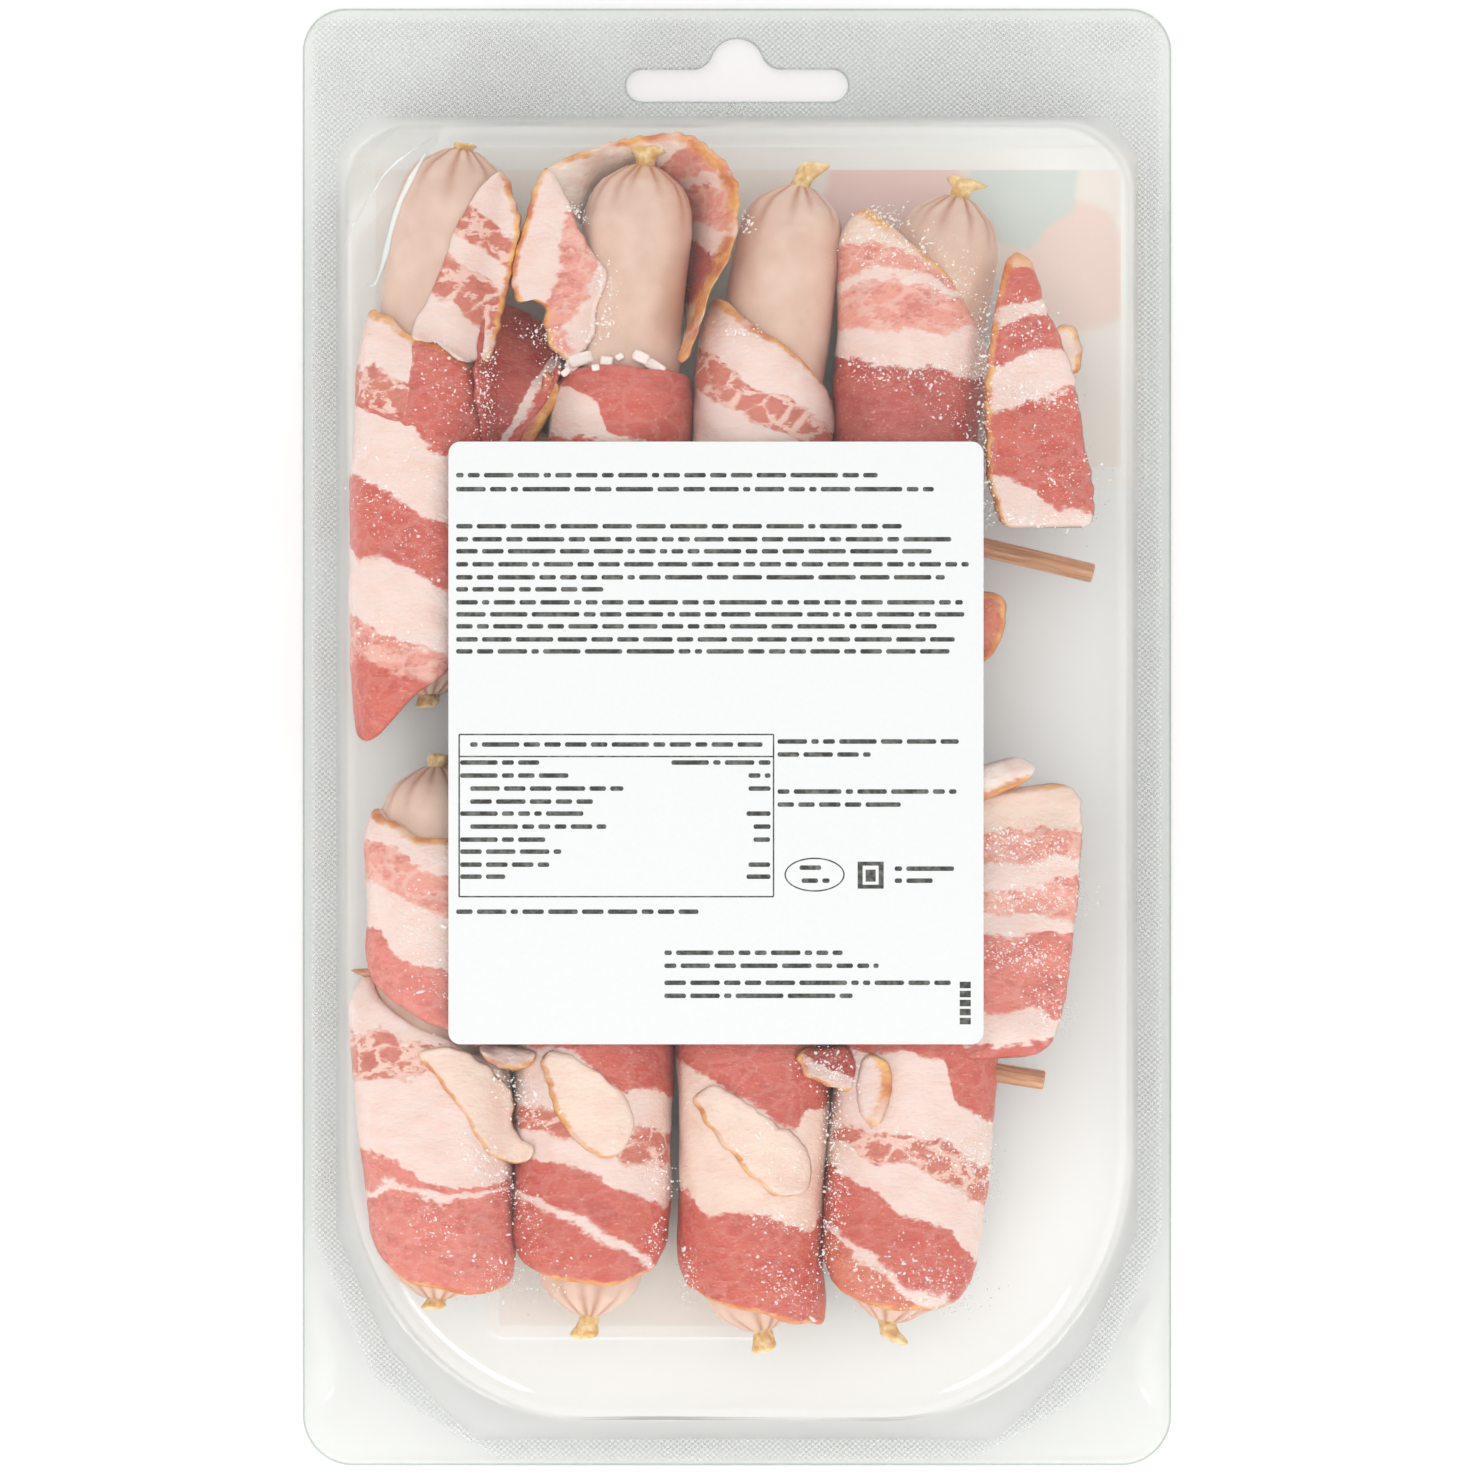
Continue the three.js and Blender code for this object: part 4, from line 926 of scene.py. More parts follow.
# %% Flap plans of the upper row
# Each plan has the least height, the thickness, the smoked edges, the left and right edges in
# picture points, as many in one as in the other, and the bands. A third number in an edge is its
# height, for a flap that hangs on its own, and such a flap has no level. A wide_rim widens the
# smoked edge, and a pair does so from the upper to the lower end.
FLAPS = {
    "strip_upper_1": dict(
        level=20, thick=1.3, gold=("right",),
        left=[(497, 170, 17), (476, 192), (467, 208), (455, 228), (447, 252), (436, 280), (424, 306),
              (414, 322), (415, 340), (440, 345), (458, 364)],
        right=[(504, 168, 16), (511, 186), (518, 208), (521, 230), (516, 252), (511, 278), (506, 300),
               (502, 320), (499, 332), (495, 346), (490, 362)],
        bands=[
            ("fat", [(440, 185), (470, 206), (490, 220), (505, 236), (522, 250)]),
            ("streaky", [(440, 224), (455, 233), (475, 245), (487, 250), (505, 268), (520, 285)]),
            ("fat", [(430, 248), (447, 255), (462, 262), (478, 270), (488, 284), (498, 300), (520, 306)]),
            ("streaky", [(420, 288), (436, 297), (452, 300), (470, 320), (484, 332), (500, 336)]),
            ("fat", None),
        ],
    ),
    "flap_upper_2": dict(
        level=20, thick=1.4, gold=("left",), sideways=True,
        left=[(541, 168, 20), (533, 190, 20), (527, 212), (518, 238), (512, 262), (511, 286), (518, 302),
              (534, 300), (545, 304), (543, 320), (546, 336), (556, 352), (566, 364)],
        right=[(552, 164, 19), (563, 188, 19), (571, 207), (580, 228), (590, 248), (601, 262),
               (608, 274), (604, 292), (598, 306), (597, 322), (592, 340), (584, 352), (578, 363)],
        bands=[
            ("fat", [(600, 166), (600, 200), (568, 212), (564, 232), (562, 262), (556, 292), (545, 306),
                     (540, 330), (540, 362)]),
            ("pale", [(600, 166), (600, 200), (580, 222), (592, 250), (598, 262), (592, 280), (586, 300),
                      (574, 314), (562, 328), (560, 362)]),
            ("fat", None),
        ],
    ),
    "hood_upper_2": dict(
        level=None, thick=1.4, gold=("left",), wide_rim=(0.7, 3.4),
        left=[(540, 172, 17), (552, 162, 17), (585, 149, 17.5), (610, 141, 18), (650, 133, 18.5),
              (686, 132, 19.5), (710, 147, 21), (729, 167, 23), (738, 186, 23.6), (739, 214, 24.2),
              (736, 240, 24.6), (726, 266, 25), (711, 292, 25.6), (703, 320, 26), (694, 345, 26.4),
              (688, 364, 26.4)],
        right=[(580, 226, 10), (584, 206, 9), (590, 190, 8), (602, 178, 7), (630, 172, 6.5),
               (662, 176, 7), (682, 190, 8), (688, 208, 7), (686, 226, 6), (683, 244, 5.5),
               (681, 262, 5.5), (681, 282, 6), (683, 304, 8), (685, 322, 12), (682, 344, 20),
               (676, 362, 25)],
        bands=[
            # The first band is the shaded tone, painted light on the fat that hangs in shade.
            ("shaded", [(530, 420), (640, 400), (656, 168), (672, 152), (700, 128), (745, 120)]),
            ("pale", [(530, 421), (640, 401), (660, 176), (690, 174), (745, 168)]),
            ("fat", [(530, 422), (640, 402), (664, 188), (700, 186), (745, 180)]),
            ("pale", [(530, 423), (640, 403), (668, 220), (700, 222), (745, 216)]),
            ("fat", [(530, 424), (640, 404), (680, 240), (700, 244), (716, 256), (745, 262)]),
            ("deep", [(530, 425), (640, 405), (680, 300), (745, 314)]),
            ("cream", None),
        ],
    ),
    "fold_upper_middle": dict(
        level=16, thick=2.0, gold=(),
        left=[(484, 296, 13), (478, 326, 14), (474, 360, 16), (474, 392, 18), (478, 420, 18),
              (482, 448, 17)],
        right=[(522, 306, 7), (548, 326, 6), (562, 352, 10), (556, 388, 18), (536, 420, 18),
               (516, 448, 17)],
        bands=[
            ("deep", [(480, 480), (500, 440), (515, 412), (532, 384), (548, 356)]),
            ("fat", [(480, 500), (503, 448), (520, 420), (538, 392), (552, 366)]),
            ("lean", None),
        ],
    ),
    "fold_golden_middle": dict(
        level=18, thick=1.0, gold=("right",), wide_rim=1.4,
        left=[(544, 366, 18.5), (540, 390, 19), (526, 416, 19), (516, 444, 18)],
        right=[(556, 378, 17.5), (558, 400, 18.5), (544, 424, 18.5), (532, 448, 17.5)],
        bands=[("warm", None)],
    ),
    "end_upper_right": dict(
        level=None, thick=2.2, gold=("left",),
        left=[(1010, 252, 22), (1004, 272, 22.5), (998, 300, 23), (993, 325, 23.6), (990, 345, 24),
              (987, 375, 24.6), (985, 410, 25), (986, 450, 25), (988, 482, 25), (996, 508, 24),
              (1003, 528, 23)],
        right=[(1028, 252, 20), (1038, 274, 20), (1046, 302, 19), (1058, 328, 18.4), (1068, 350, 18),
               (1077, 376, 17), (1082, 410, 16.4), (1088, 450, 15.6), (1095, 480, 15), (1097, 508, 14.4),
               (1094, 528, 14.4)],
        bands=[
            ("rind", [(980, 264), (1100, 270)]),
            ("lean", [(980, 300), (1000, 302), (1040, 298), (1100, 300)]),
            ("fat", [(980, 332), (1000, 328), (1020, 318), (1045, 312), (1100, 315)]),
            ("lean", [(980, 372), (1005, 366), (1030, 352), (1060, 346), (1100, 345)]),
            ("fat", [(980, 408), (1000, 414), (1020, 408), (1040, 398), (1075, 384), (1100, 382)]),
            ("lean", [(980, 474), (1000, 476), (1030, 482), (1045, 500), (1060, 512), (1100, 514)]),
            ("fat", None),
        ],
    ),
    "tip_upper_right": dict(
        level=None, thick=1.8, gold=("top", "right"),
        left=[(1054, 326, 15.5), (1054, 345, 16), (1058, 372, 16)],
        right=[(1076, 319, 12.5), (1084, 345, 13), (1083, 374, 14)],
        bands=[("cream", None)],
    ),
    "edge_upper_right": dict(
        level=None, thick=1.8, gold=("top", "right"),
        left=[(976, 590, 20), (978, 612, 20), (978, 636, 20), (978, 664, 20)],
        right=[(1004, 594, 19), (1008, 612, 19), (1004, 636, 19), (990, 662, 19.6)],
        bands=[("warm", None)],
    ),
}
print("flaps of the upper row:", len(FLAPS))

# %% Flap plans of the lower row
FLAPS |= {
    "tongue_lower_1": dict(
        level=20, thick=1.2, gold=("left",), wide_rim=0.7,
        left=[(414, 1052), (432, 1074), (447, 1094), (461, 1110), (472, 1132), (484, 1150), (498, 1162),
              (514, 1167)],
        right=[(452, 1046), (488, 1066), (506, 1088), (514, 1106), (512, 1124), (520, 1138), (534, 1148),
               (534, 1161)],
        bands=[("cream", None)],
    ),
    "tongue_lower_2": dict(
        level=20, thick=1.2, gold=("left", "bottom"),
        left=[(538, 1062), (546, 1084), (553, 1106), (563, 1126), (577, 1142), (592, 1154), (606, 1160)],
        right=[(552, 1048), (578, 1058), (604, 1076), (626, 1096), (636, 1116), (632, 1138), (618, 1158)],
        bands=[("cream", None)],
    ),
    "fold_lower_2": dict(
        level=20, thick=1.6, gold=("left",),
        left=[(486, 1062), (500, 1070), (516, 1072), (532, 1068)],
        right=[(476, 1044), (500, 1046), (522, 1048), (540, 1050)],
        bands=[("fat", None)],
    ),
    "fold_lower_3": dict(
        level=20, thick=1.3, gold=("left",), wide_rim=0.8,
        left=[(690, 1098), (704, 1120), (720, 1142), (736, 1160), (752, 1178), (768, 1192), (782, 1196)],
        right=[(716, 1082), (748, 1104), (778, 1124), (800, 1140), (812, 1162), (812, 1182), (806, 1196)],
        bands=[
            ("cream", [(680, 1180), (720, 1160), (760, 1196), (830, 1260)]),
            ("fat", None),
        ],
    ),
    "flap_lower_3_4": dict(
        level=21, thick=1.3, gold=("left", "bottom"),
        left=[(796, 1050), (799, 1066), (808, 1078), (824, 1086), (842, 1093)],
        right=[(850, 1046), (856, 1058), (858, 1070), (856, 1082), (852, 1094)],
        bands=[
            ("deep", [(790, 1050), (806, 1056), (820, 1066), (836, 1076), (858, 1086)]),
            ("fat", None),
        ],
    ),
    "flap_lower_4": dict(
        level=21, thick=1.8, gold=("right",), wide_rim=1.9,
        left=[(866, 1052), (860, 1066), (857, 1084), (858, 1104), (864, 1120), (870, 1128)],
        right=[(882, 1056), (892, 1072), (893, 1090), (888, 1108), (882, 1122), (874, 1130)],
        bands=[("fat", None)],
    ),
    "end_lower_right": dict(
        level=None, thick=1.8, gold=("top",), corner=4,
        left=[(950, 796, 24), (952, 850, 25), (954, 900, 25), (956, 950, 25), (958, 1000, 25),
              (958, 1040, 25), (958, 1052, 24.6), (956, 1062, 24)],
        right=[(1076, 780, 16), (1084, 810, 17), (1083, 850, 18), (1080, 900, 18), (1074, 950, 18),
               (1067, 1000, 18), (1058, 1036, 18), (1049, 1058, 18)],
        bands=[
            ("cream", [(940, 834), (1000, 834), (1040, 828), (1090, 832)]),
            ("pale", [(940, 864), (1010, 864), (1040, 860), (1090, 862)]),
            ("fat", [(940, 890), (1000, 893), (1030, 889), (1060, 881), (1090, 881)]),
            ("pale", [(940, 914), (1000, 914), (1040, 918), (1070, 924), (1090, 924)]),
            ("fat", [(940, 940), (1000, 938), (1040, 935), (1090, 935)]),
            ("rosy", [(940, 1014), (1000, 1012), (1040, 1014), (1060, 1020), (1090, 1020)]),
            ("fat", [(940, 1044), (1000, 1048), (1090, 1042)]),
            ("lean", None),
        ],
    ),
    "roll_lower_right": dict(
        level=None, thick=3.0, gold=("bottom",), wide_rim=1.6,
        left=[(960, 772, 23), (960, 790, 24.6), (960, 812, 25)],
        right=[(1018, 756, 20), (1036, 768, 21.5), (1030, 782, 23)],
        # The shaded tone is painted light on a roll that lies in shade.
        bands=[("shaded", None)],
    ),
}
SCENE_ONLY = ("roll_lower_right", "fold_golden_middle", "fold_lower_2")  # small flaps with no solid

# %% Flap bodies
EDGE_ROUNDING = 1.2
CORNER_ROUNDING = 1.8
FLAP_LIFT = -0.2
FLAP_STEP = 0.45
MOST_ROWS = 170
MOST_COLUMNS = 90
EDGE_RIPPLE = 0.22
SAG = 3  # how far a flap may sink below its level into a gap


def settle_height(height, under, rounds=14):
    """Lets a sheet bridge the gaps below it, as a rasher does, without sinking into what it lies on."""
    for _ in range(rounds):
        padded = np.pad(height, 1, mode="edge")
        mean = (padded[:-2, 1:-1] + padded[2:, 1:-1] + padded[1:-1, :-2] + padded[1:-1, 2:]) / 4
        height = np.maximum(mean, under)
    return height


def edge_height(edge, level, count):
    known = [p[2] if len(p) > 2 else level for p in edge]
    return np.interp(np.linspace(0, 1, count), np.linspace(0, 1, len(edge)), known)


def both_faces(values):
    """The values of the upper face, and the same ones the other way round for the lower face."""
    return np.concatenate([values, values[:, ::-1]], 1)


def flap(name, plan, seed):
    left, right = places(plan["left"]), places(plan["right"])
    long = max(steps_of(left).sum(), steps_of(right).sum())
    wide = np.linalg.norm(left - right, axis=1).max()
    rows = int(np.clip(long / FLAP_STEP, 12, MOST_ROWS))
    columns = int(np.clip(wide / FLAP_STEP, 10, MOST_COLUMNS))
    left, right = smooth_line(left, rows), smooth_line(right, rows)
    left += EDGE_RIPPLE * ripple(left, 3.2, seed)[:, None]
    right += EDGE_RIPPLE * ripple(right, 3.2, seed + 1)[:, None]
    reach = plan.get("corner", CORNER_ROUNDING)
    from_end = np.clip(np.minimum(np.arange(rows), np.arange(rows)[::-1]) * long / (rows - 1), 0, reach)
    inset = (reach - np.sqrt(reach**2 - (reach - from_end) ** 2))[:, None]
    apart = np.linalg.norm(right - left, axis=1)
    inward = (right - left) / np.maximum(apart, 0.01)[:, None]
    inset = np.minimum(inset, 0.4 * apart[:, None])
    left, right = left + inward * inset, right - inward * inset
    share = np.linspace(0, 1, columns)[None, :, None]
    plan_points = left[:, None] + (right - left)[:, None] * share
    x, y = plan_points[..., 0], plan_points[..., 1]
    share = share[..., 0]
    start = edge_height(plan["left"], plan["level"], rows)[:, None]
    end = edge_height(plan["right"], plan["level"], rows)[:, None]
    free = start + (end - start) * share
    if plan["level"] is None:
        base = free + 0.5 * ripple(plan_points, 9, seed + 2)
    else:
        under = meat_top(x, y) + FLAP_LIFT
        base = settle_height(np.maximum(under, free), np.maximum(under, free - SAG))
        base = base + 0.05 * (1 + ripple(plan_points, 6, seed + 2))
    width = np.linalg.norm(right - left, axis=1)[:, None]
    from_left, from_right = share * width, (1 - share) * width
    down = np.linspace(0, long, rows)[:, None] + 0 * share
    border = np.minimum(np.minimum(from_left, from_right), np.minimum(down, long - down))
    rounding = np.sqrt(1 - (1 - np.clip(border / EDGE_ROUNDING, 0, 1)) ** 2)
    body = plan["thick"] * rounding * (1 + 0.12 * ripple(plan_points, 7, seed + 3))
    base = np.minimum(base, MEAT_CEILING + 0.05 - body)
    upper = np.stack([x, y, base + body], -1)
    lower = np.stack([x, y, base], -1)[:, ::-1]
    ring = np.concatenate([upper, lower], 1)
    band, kinds, widths = read_bands(plan["bands"], x, y, plan.get("sideways", False))
    sides = {"left": from_left, "right": from_right, "top": down, "bottom": long - down}
    rim = np.full(x.shape, NO_RIM)
    first_width, last_width = np.broadcast_to(plan.get("wide_rim", 1.0), 2)
    rim_width = np.linspace(first_width, last_width, rows)[:, None]
    for side in plan["gold"]:
        rim = np.minimum(rim, sides[side] / rim_width)
    layers = {"band": both_faces(band), "rim": both_faces(rim)}
    piece = make_piece("bacon_piece_" + name, ring.reshape(-1, 3), closed_tube(rows, 2 * columns), layers)
    weld(piece, 0.01)
    nodes = () if name in SCENE_ONLY else ("bacon_" + name,)
    settle(piece, rasher_finish(name, kinds, widths, seed), "bacon", *nodes)


for order, (name, plan) in enumerate(FLAPS.items()):
    flap(name, plan, 60 + 5 * order)
print("flaps done:", len(FLAPS))

# %% [markdown]
# ## Crumbs of fat
# Small clean-cut cubes of fat lie on the upper edge of the second wrap. Each is a block with
# rounded, uneven corners, made by pushing the points of a fine cube grid towards a ball.

# %% Fat crumbs
bench = Bench("fat_crumb")
crumb_grain = bench.noise(1.0, 3)
FAT_CRUMB = bench.set(
    Base_Color=bench.mix(crumb_grain, tone(244, 226, 218), tone(252, 242, 238)),
    Roughness=bench.ramp(crumb_grain, 0.2, 0.8, 0.35, 0.5),
    Subsurface_Weight=0.15,
    Subsurface_Radius=(1.0, 0.6, 0.5),
    Subsurface_Scale=0.002,
    Normal=bench.bump(crumb_grain, 0.2),
)
# Middle in picture points, length, width and height in millimetres, and turn in degrees.
CRUMBS = [
    ((581, 359), (4.6, 2.4, 2.2), 14), ((572, 366), (2.4, 1.8, 1.6), -20), ((607, 361), (2.2, 1.6, 1.5), -8),
    ((620, 357), (1.5, 1.2, 1.1), 30), ((641, 357), (2.8, 2.0, 1.8), -24), ((655, 366), (4.0, 1.9, 1.9), -30),
    ((566, 372), (1.8, 1.2, 1.0), 40), ((596, 368), (1.4, 1.1, 1.0), 10),
]
CUBE_STEPS = 7
CRUMB_RELIEF = 0.07


def crumb(order, middle, size, degrees):
    """Points and faces of one crumb, as a cube grid drawn towards a ball and then stretched."""
    grid = bpy.data.meshes.new("grid")
    build = bmesh.new()
    bmesh.ops.create_cube(build, size=2)
    bmesh.ops.subdivide_edges(build, edges=build.edges[:], cuts=CUBE_STEPS, use_grid_fill=True)
    build.to_mesh(grid)
    build.free()
    points = np.array([v.co[:] for v in grid.vertices])
    faces = [tuple(face.vertices) for face in grid.polygons]
    bpy.data.meshes.remove(grid)
    points /= (np.abs(points) ** 5).sum(1)[:, None] ** 0.2
    points *= 1 + CRUMB_RELIEF * ripple(points, 1.1, 90 + order)[:, None]
    points *= np.array(size) / 2
    cosine = math.cos(math.radians(degrees))
    sine = math.sin(math.radians(degrees))
    x, y = at(*middle)
    ground = float(meat_top(np.array([x]), np.array([y]))[0])
    height = min(max(ground, 20) + size[2] / 2 - 0.2, MEAT_CEILING - size[2] / 2)
    turned = np.stack([
        x + points[:, 0] * cosine - points[:, 1] * sine,
        y + points[:, 0] * sine + points[:, 1] * cosine,
        height + points[:, 2],
    ], -1)
    return turned, faces


crumb_points, crumb_faces = [], []
for order, (middle, size, degrees) in enumerate(CRUMBS):
    shape, faces = crumb(order, middle, size, degrees)
    crumb_faces += [tuple(len(crumb_points) + k for k in face) for face in faces]
    crumb_points += shape.tolist()
settle(make_piece("fat_crumbs", crumb_points, crumb_faces), FAT_CRUMB, "bacon")
print("crumbs", len(CRUMBS))

# %% [markdown]
# ## Skewers
# Two round sticks of bamboo-like wood, pointed at the left and cut square at the right. The
# grain runs along the stick, so the noise is stretched along it.

# %% Wood finish and sticks
bench = Bench("skewer_wood")
STICK_SLANT = 12
slant = {"Vector": bench.place, "Angle": math.radians(STICK_SLANT)}
bench.place = bench.add("ShaderNodeVectorRotate", slant, rotation_type="Z_AXIS").outputs[0]
fibre = bench.noise(0.7, 5, (0.06, 1.0, 1.0), 0.65)
broad = bench.noise(5, 3)
wood = bench.mix(bench.ramp(fibre, 0.3, 0.7), tone(168, 112, 78), tone(226, 180, 146))
wood = bench.mix(bench.math("MULTIPLY", bench.ramp(broad, 0.4, 0.7), 0.35), wood, tone(196, 138, 100))
WOOD = bench.set(
    Base_Color=wood,
    Roughness=bench.ramp(fibre, 0.2, 0.8, 0.5, 0.75),
    Specular_IOR_Level=0.3,
    Normal=bench.bump(fibre, 0.12),
)
SKEWER_RADIUS = 1.7
SKEWER_TIP = 7
SKEWER_BUTT = 0.4  # length of the rounding at the cut end
SKEWER_SIDES = 24


def skewer(name, start, end, seed):
    start, end = np.array(start), np.array(end)
    length = np.linalg.norm(end - start)
    way = (end - start) / length
    across = np.array([-way[1], way[0]])
    tip = np.linspace(0, SKEWER_TIP, 12)
    shaft = np.linspace(SKEWER_TIP, length - SKEWER_BUTT, 90)[1:]
    run = np.concatenate([tip, shaft, [length - 0.1, length]])
    reach = np.interp(
        run,
        [0, 0.4, SKEWER_TIP, length - SKEWER_BUTT, length - 0.1, length],
        [0.1, 0.35, SKEWER_RADIUS, SKEWER_RADIUS, 1.6, 1.35],
    )
    turn = np.linspace(0, 2 * math.pi, SKEWER_SIDES, endpoint=False)[None, :]
    rough = 1 + 0.02 * np.sin(3 * turn + seed) + 0.012 * np.sin(7 * turn + 3 * seed)
    wide = reach[:, None] * rough
    x = start[0] + way[0] * run[:, None] + across[0] * wide * np.cos(turn)
    y = start[1] + way[1] * run[:, None] + across[1] * wide * np.cos(turn)
    z = LEVEL + wide * np.sin(turn)
    faces = closed_tube(len(run), SKEWER_SIDES)
    return make_piece("stick_" + name, np.stack([x, y, z], -1).reshape(-1, 3), faces)


for order, (name, (start, end)) in enumerate(SKEWERS.items()):
    settle(skewer(name, start, end, order), WOOD, "skewer_wood", "skewer_" + name)
print("skewers done")

# %% [markdown]
# ## The tray
# The tray is a clear sheet drawn over a mould: a wide flange, steep walls with a rounded foot
# and floor edge, and a flat floor. It is built as one skin. The flange and the floor are
# triangulated between their outlines, the wall is a stack of rings between them, and a solidify
# modifier gives the skin its thickness. The upper left corner was pushed in at the factory.

# %% Sizes and outlines of the tray
PACK_HALF_WIDTH = 77.5
PACK_HALF_LENGTH = 130
PACK_HEIGHT = 28
PACK_CORNER_LOWER = 9
PACK_CORNER_UPPER = 7.7
CAVITY_HALF_WIDTH = 70.4
CAVITY_TOP = 109.6
CAVITY_BOTTOM = -121.9
FLANGE_TOP = 1.0
SHEET = 0.35
WALL_DRAFT = 1.2
FLOOR_EDGE = 7.3  # radius of the rounded edge between the wall and the floor
# Count of points along each kind of stretch of the cavity's outline.
SIDE_STEPS = {"side": 110, "upper": 26, "end": 50, "lower": 64, "foot": 22}


def arc(cx, cy, a, b, start, stop, count):
    """Points of an arc round a middle, with half widths a and b and its angles in degrees."""
    angle = np.radians(np.linspace(start, stop, count))
    return np.stack([cx + a * np.cos(angle), cy + b * np.sin(angle)], -1)


def cavity_outline(inset):
    """The cavity's outline, drawn in by inset all round, with the same count of points each time."""
    half = CAVITY_HALF_WIDTH - inset
    top = CAVITY_TOP - inset
    bottom = CAVITY_BOTTOM + inset
    upper = 12.5 + 0.4 * inset
    rx = 44 - 0.3 * inset
    ry = 49 - 0.3 * inset
    quarters = [
        (half - rx, bottom + ry, rx, ry, -90, "lower", "side"),
        (half - upper, top - upper, upper, upper, 0, "upper", "end"),
        (upper - half, top - upper, upper, upper, 90, "upper", "side"),
        (rx - half, bottom + ry, rx, ry, 180, "lower", "foot"),
    ]
    arcs = [
        arc(cx, cy, a, b, start, start + 90, SIDE_STEPS[steps])
        for cx, cy, a, b, start, steps, _ in quarters
    ]
    points = []
    for k, quarter in enumerate(quarters):
        after = arcs[(k + 1) % 4][0]
        straight = np.linspace(arcs[k][-1], after, SIDE_STEPS[quarter[-1]] + 2)[1:-1]
        points += [arcs[k], straight]
    return np.concatenate(points)


def pack_outline(step=1.2):
    """The outline of the whole pack, with a point about every step."""
    corners = [
        (PACK_CORNER_LOWER, 1, -1, -90), (PACK_CORNER_UPPER, 1, 1, 0),
        (PACK_CORNER_UPPER, -1, 1, 90), (PACK_CORNER_LOWER, -1, -1, 180),
    ]
    arcs = []
    for radius, sx, sy, start in corners:
        cx = sx * (PACK_HALF_WIDTH - radius)
        cy = sy * (PACK_HALF_LENGTH - radius)
        arcs.append(arc(cx, cy, radius, radius, start, start + 90, 14))
    points = []
    for k in range(4):
        a, b = arcs[k][-1], arcs[(k + 1) % 4][0]
        points += [arcs[k], np.linspace(a, b, int(np.linalg.norm(b - a) / step) + 1)[1:-1]]
    return np.concatenate(points)


def hang_hole():
    """A round-ended slot with a round bump over its middle."""
    half_slot, slot_y, slot_top = 19.8, 116.25, 119.1
    end, bump, fillet = 2.85, 4.7, 3.6
    bump_y = 119.9
    fillet_y = slot_top + fillet
    fillet_x = math.sqrt((bump + fillet) ** 2 - (fillet_y - bump_y) ** 2)
    lean = math.degrees(math.atan2(fillet_y - bump_y, fillet_x))
    return np.concatenate([
        arc(half_slot - end, slot_y, end, end, -90, 90, 14),
        arc(fillet_x, fillet_y, fillet, fillet, -90, -180 + lean, 8),
        arc(0, bump_y, bump, bump, lean, 180 - lean, 20)[1:-1],
        arc(-fillet_x, fillet_y, fillet, fillet, -lean, -90, 8),
        arc(end - half_slot, slot_y, end, end, 90, 270, 14),
    ])


print("cavity outline points", len(cavity_outline(0)))

# %% [markdown]
# The flange and the floor are flat plans with odd outlines and holes. Each is filled with an even
# scatter of points and cut into triangles, so that it can be bent gently afterwards.

# %% Filling a plan
BATCH = 2000  # points whose distances are worked out at a time


def inside(outline, points):
    """Whether each point of the plan lies inside the outline."""
    x, y = points[:, 0], points[:, 1]
    hit = np.zeros(len(points), bool)
    for (ax, ay), (bx, by) in zip(outline, np.roll(outline, -1, axis=0)):
        crosses = (ay > y) != (by > y)
        if ay != by:
            hit ^= crosses & (x < (bx - ax) * (y - ay) / (by - ay) + ax)
    return hit


def fill_plan(outer, holes, step):
    """Triangles between an outline and its holes, with a regular scatter of points inside."""
    low, high = outer.min(0), outer.max(0)
    columns = np.arange(low[0], high[0], step)
    rows = np.arange(low[1], high[1], step * 0.87)
    gx, gy = np.meshgrid(columns, rows, indexing="ij")
    gx = gx + (np.arange(gx.shape[1]) % 2) * step / 2
    scatter = np.stack([gx.ravel(), gy.ravel()], -1)
    keep = inside(outer, scatter)
    for hole in holes:
        keep &= ~inside(hole, scatter)
    scatter = scatter[keep]
    borders = np.concatenate([outer, *holes])
    near = np.zeros(len(scatter), bool)
    for start in range(0, len(scatter), BATCH):
        part = slice(start, start + BATCH)
        gap = np.linalg.norm(scatter[part, None] - borders[None], axis=-1).min(1)
        near[part] = gap < step * 0.45
    scatter = scatter[~near]
    loops, edges, first = [outer, *holes], [], 0
    for loop in loops:
        edges += [(first + i, first + (i + 1) % len(loop)) for i in range(len(loop))]
        first += len(loop)
    everything = np.concatenate([*loops, scatter])
    made = delaunay_2d_cdt([Vector(p) for p in everything.tolist()], edges, [], 0, 1e-5)
    points = np.array([tuple(v) for v in made[0]])
    faces = np.array([f for f in made[2]])
    middles = points[faces].mean(1)
    keep = inside(outer, middles)
    for hole in holes:
        keep &= ~inside(hole, middles)
    return points, faces[keep]


print("hang hole points", len(hang_hole()))

# %% The tray's wall
# Outline of the peel dimple at the right, and of the seal's right half. The left is its mirror.
DIMPLE = np.array([
    (76.6, -99.6), (73.6, -102.4), (70.6, -107.6), (69.6, -111.9), (70.9, -117.2), (74.6, -120.6),
    (76.6, -121),
])
DIMPLE_HEIGHT = 1.4
DIMPLE_SLOPE = 2.1
SEAL = np.array([
    (0, 128.4), (75.9, 128.4), (75.9, -88.6), (65.0, -113.8), (58.2, -119.8), (42.0, -129.2), (0, -129.2),
    (0, -125.2), (46.0, -125.4), (52.6, -119.6), (62.6, -108.6), (71.4, -88.4), (71.4, 104.0), (66, 110.8),
    (0, 110.8),
])
# The plane that the upper left corner was pushed in to: which way it faces and a point on it.
DENT_X = -0.758
DENT_Y = 0.652
DENT_RISE = 0.44
DENT_PLACE = (-70.4, 88.7, 20)


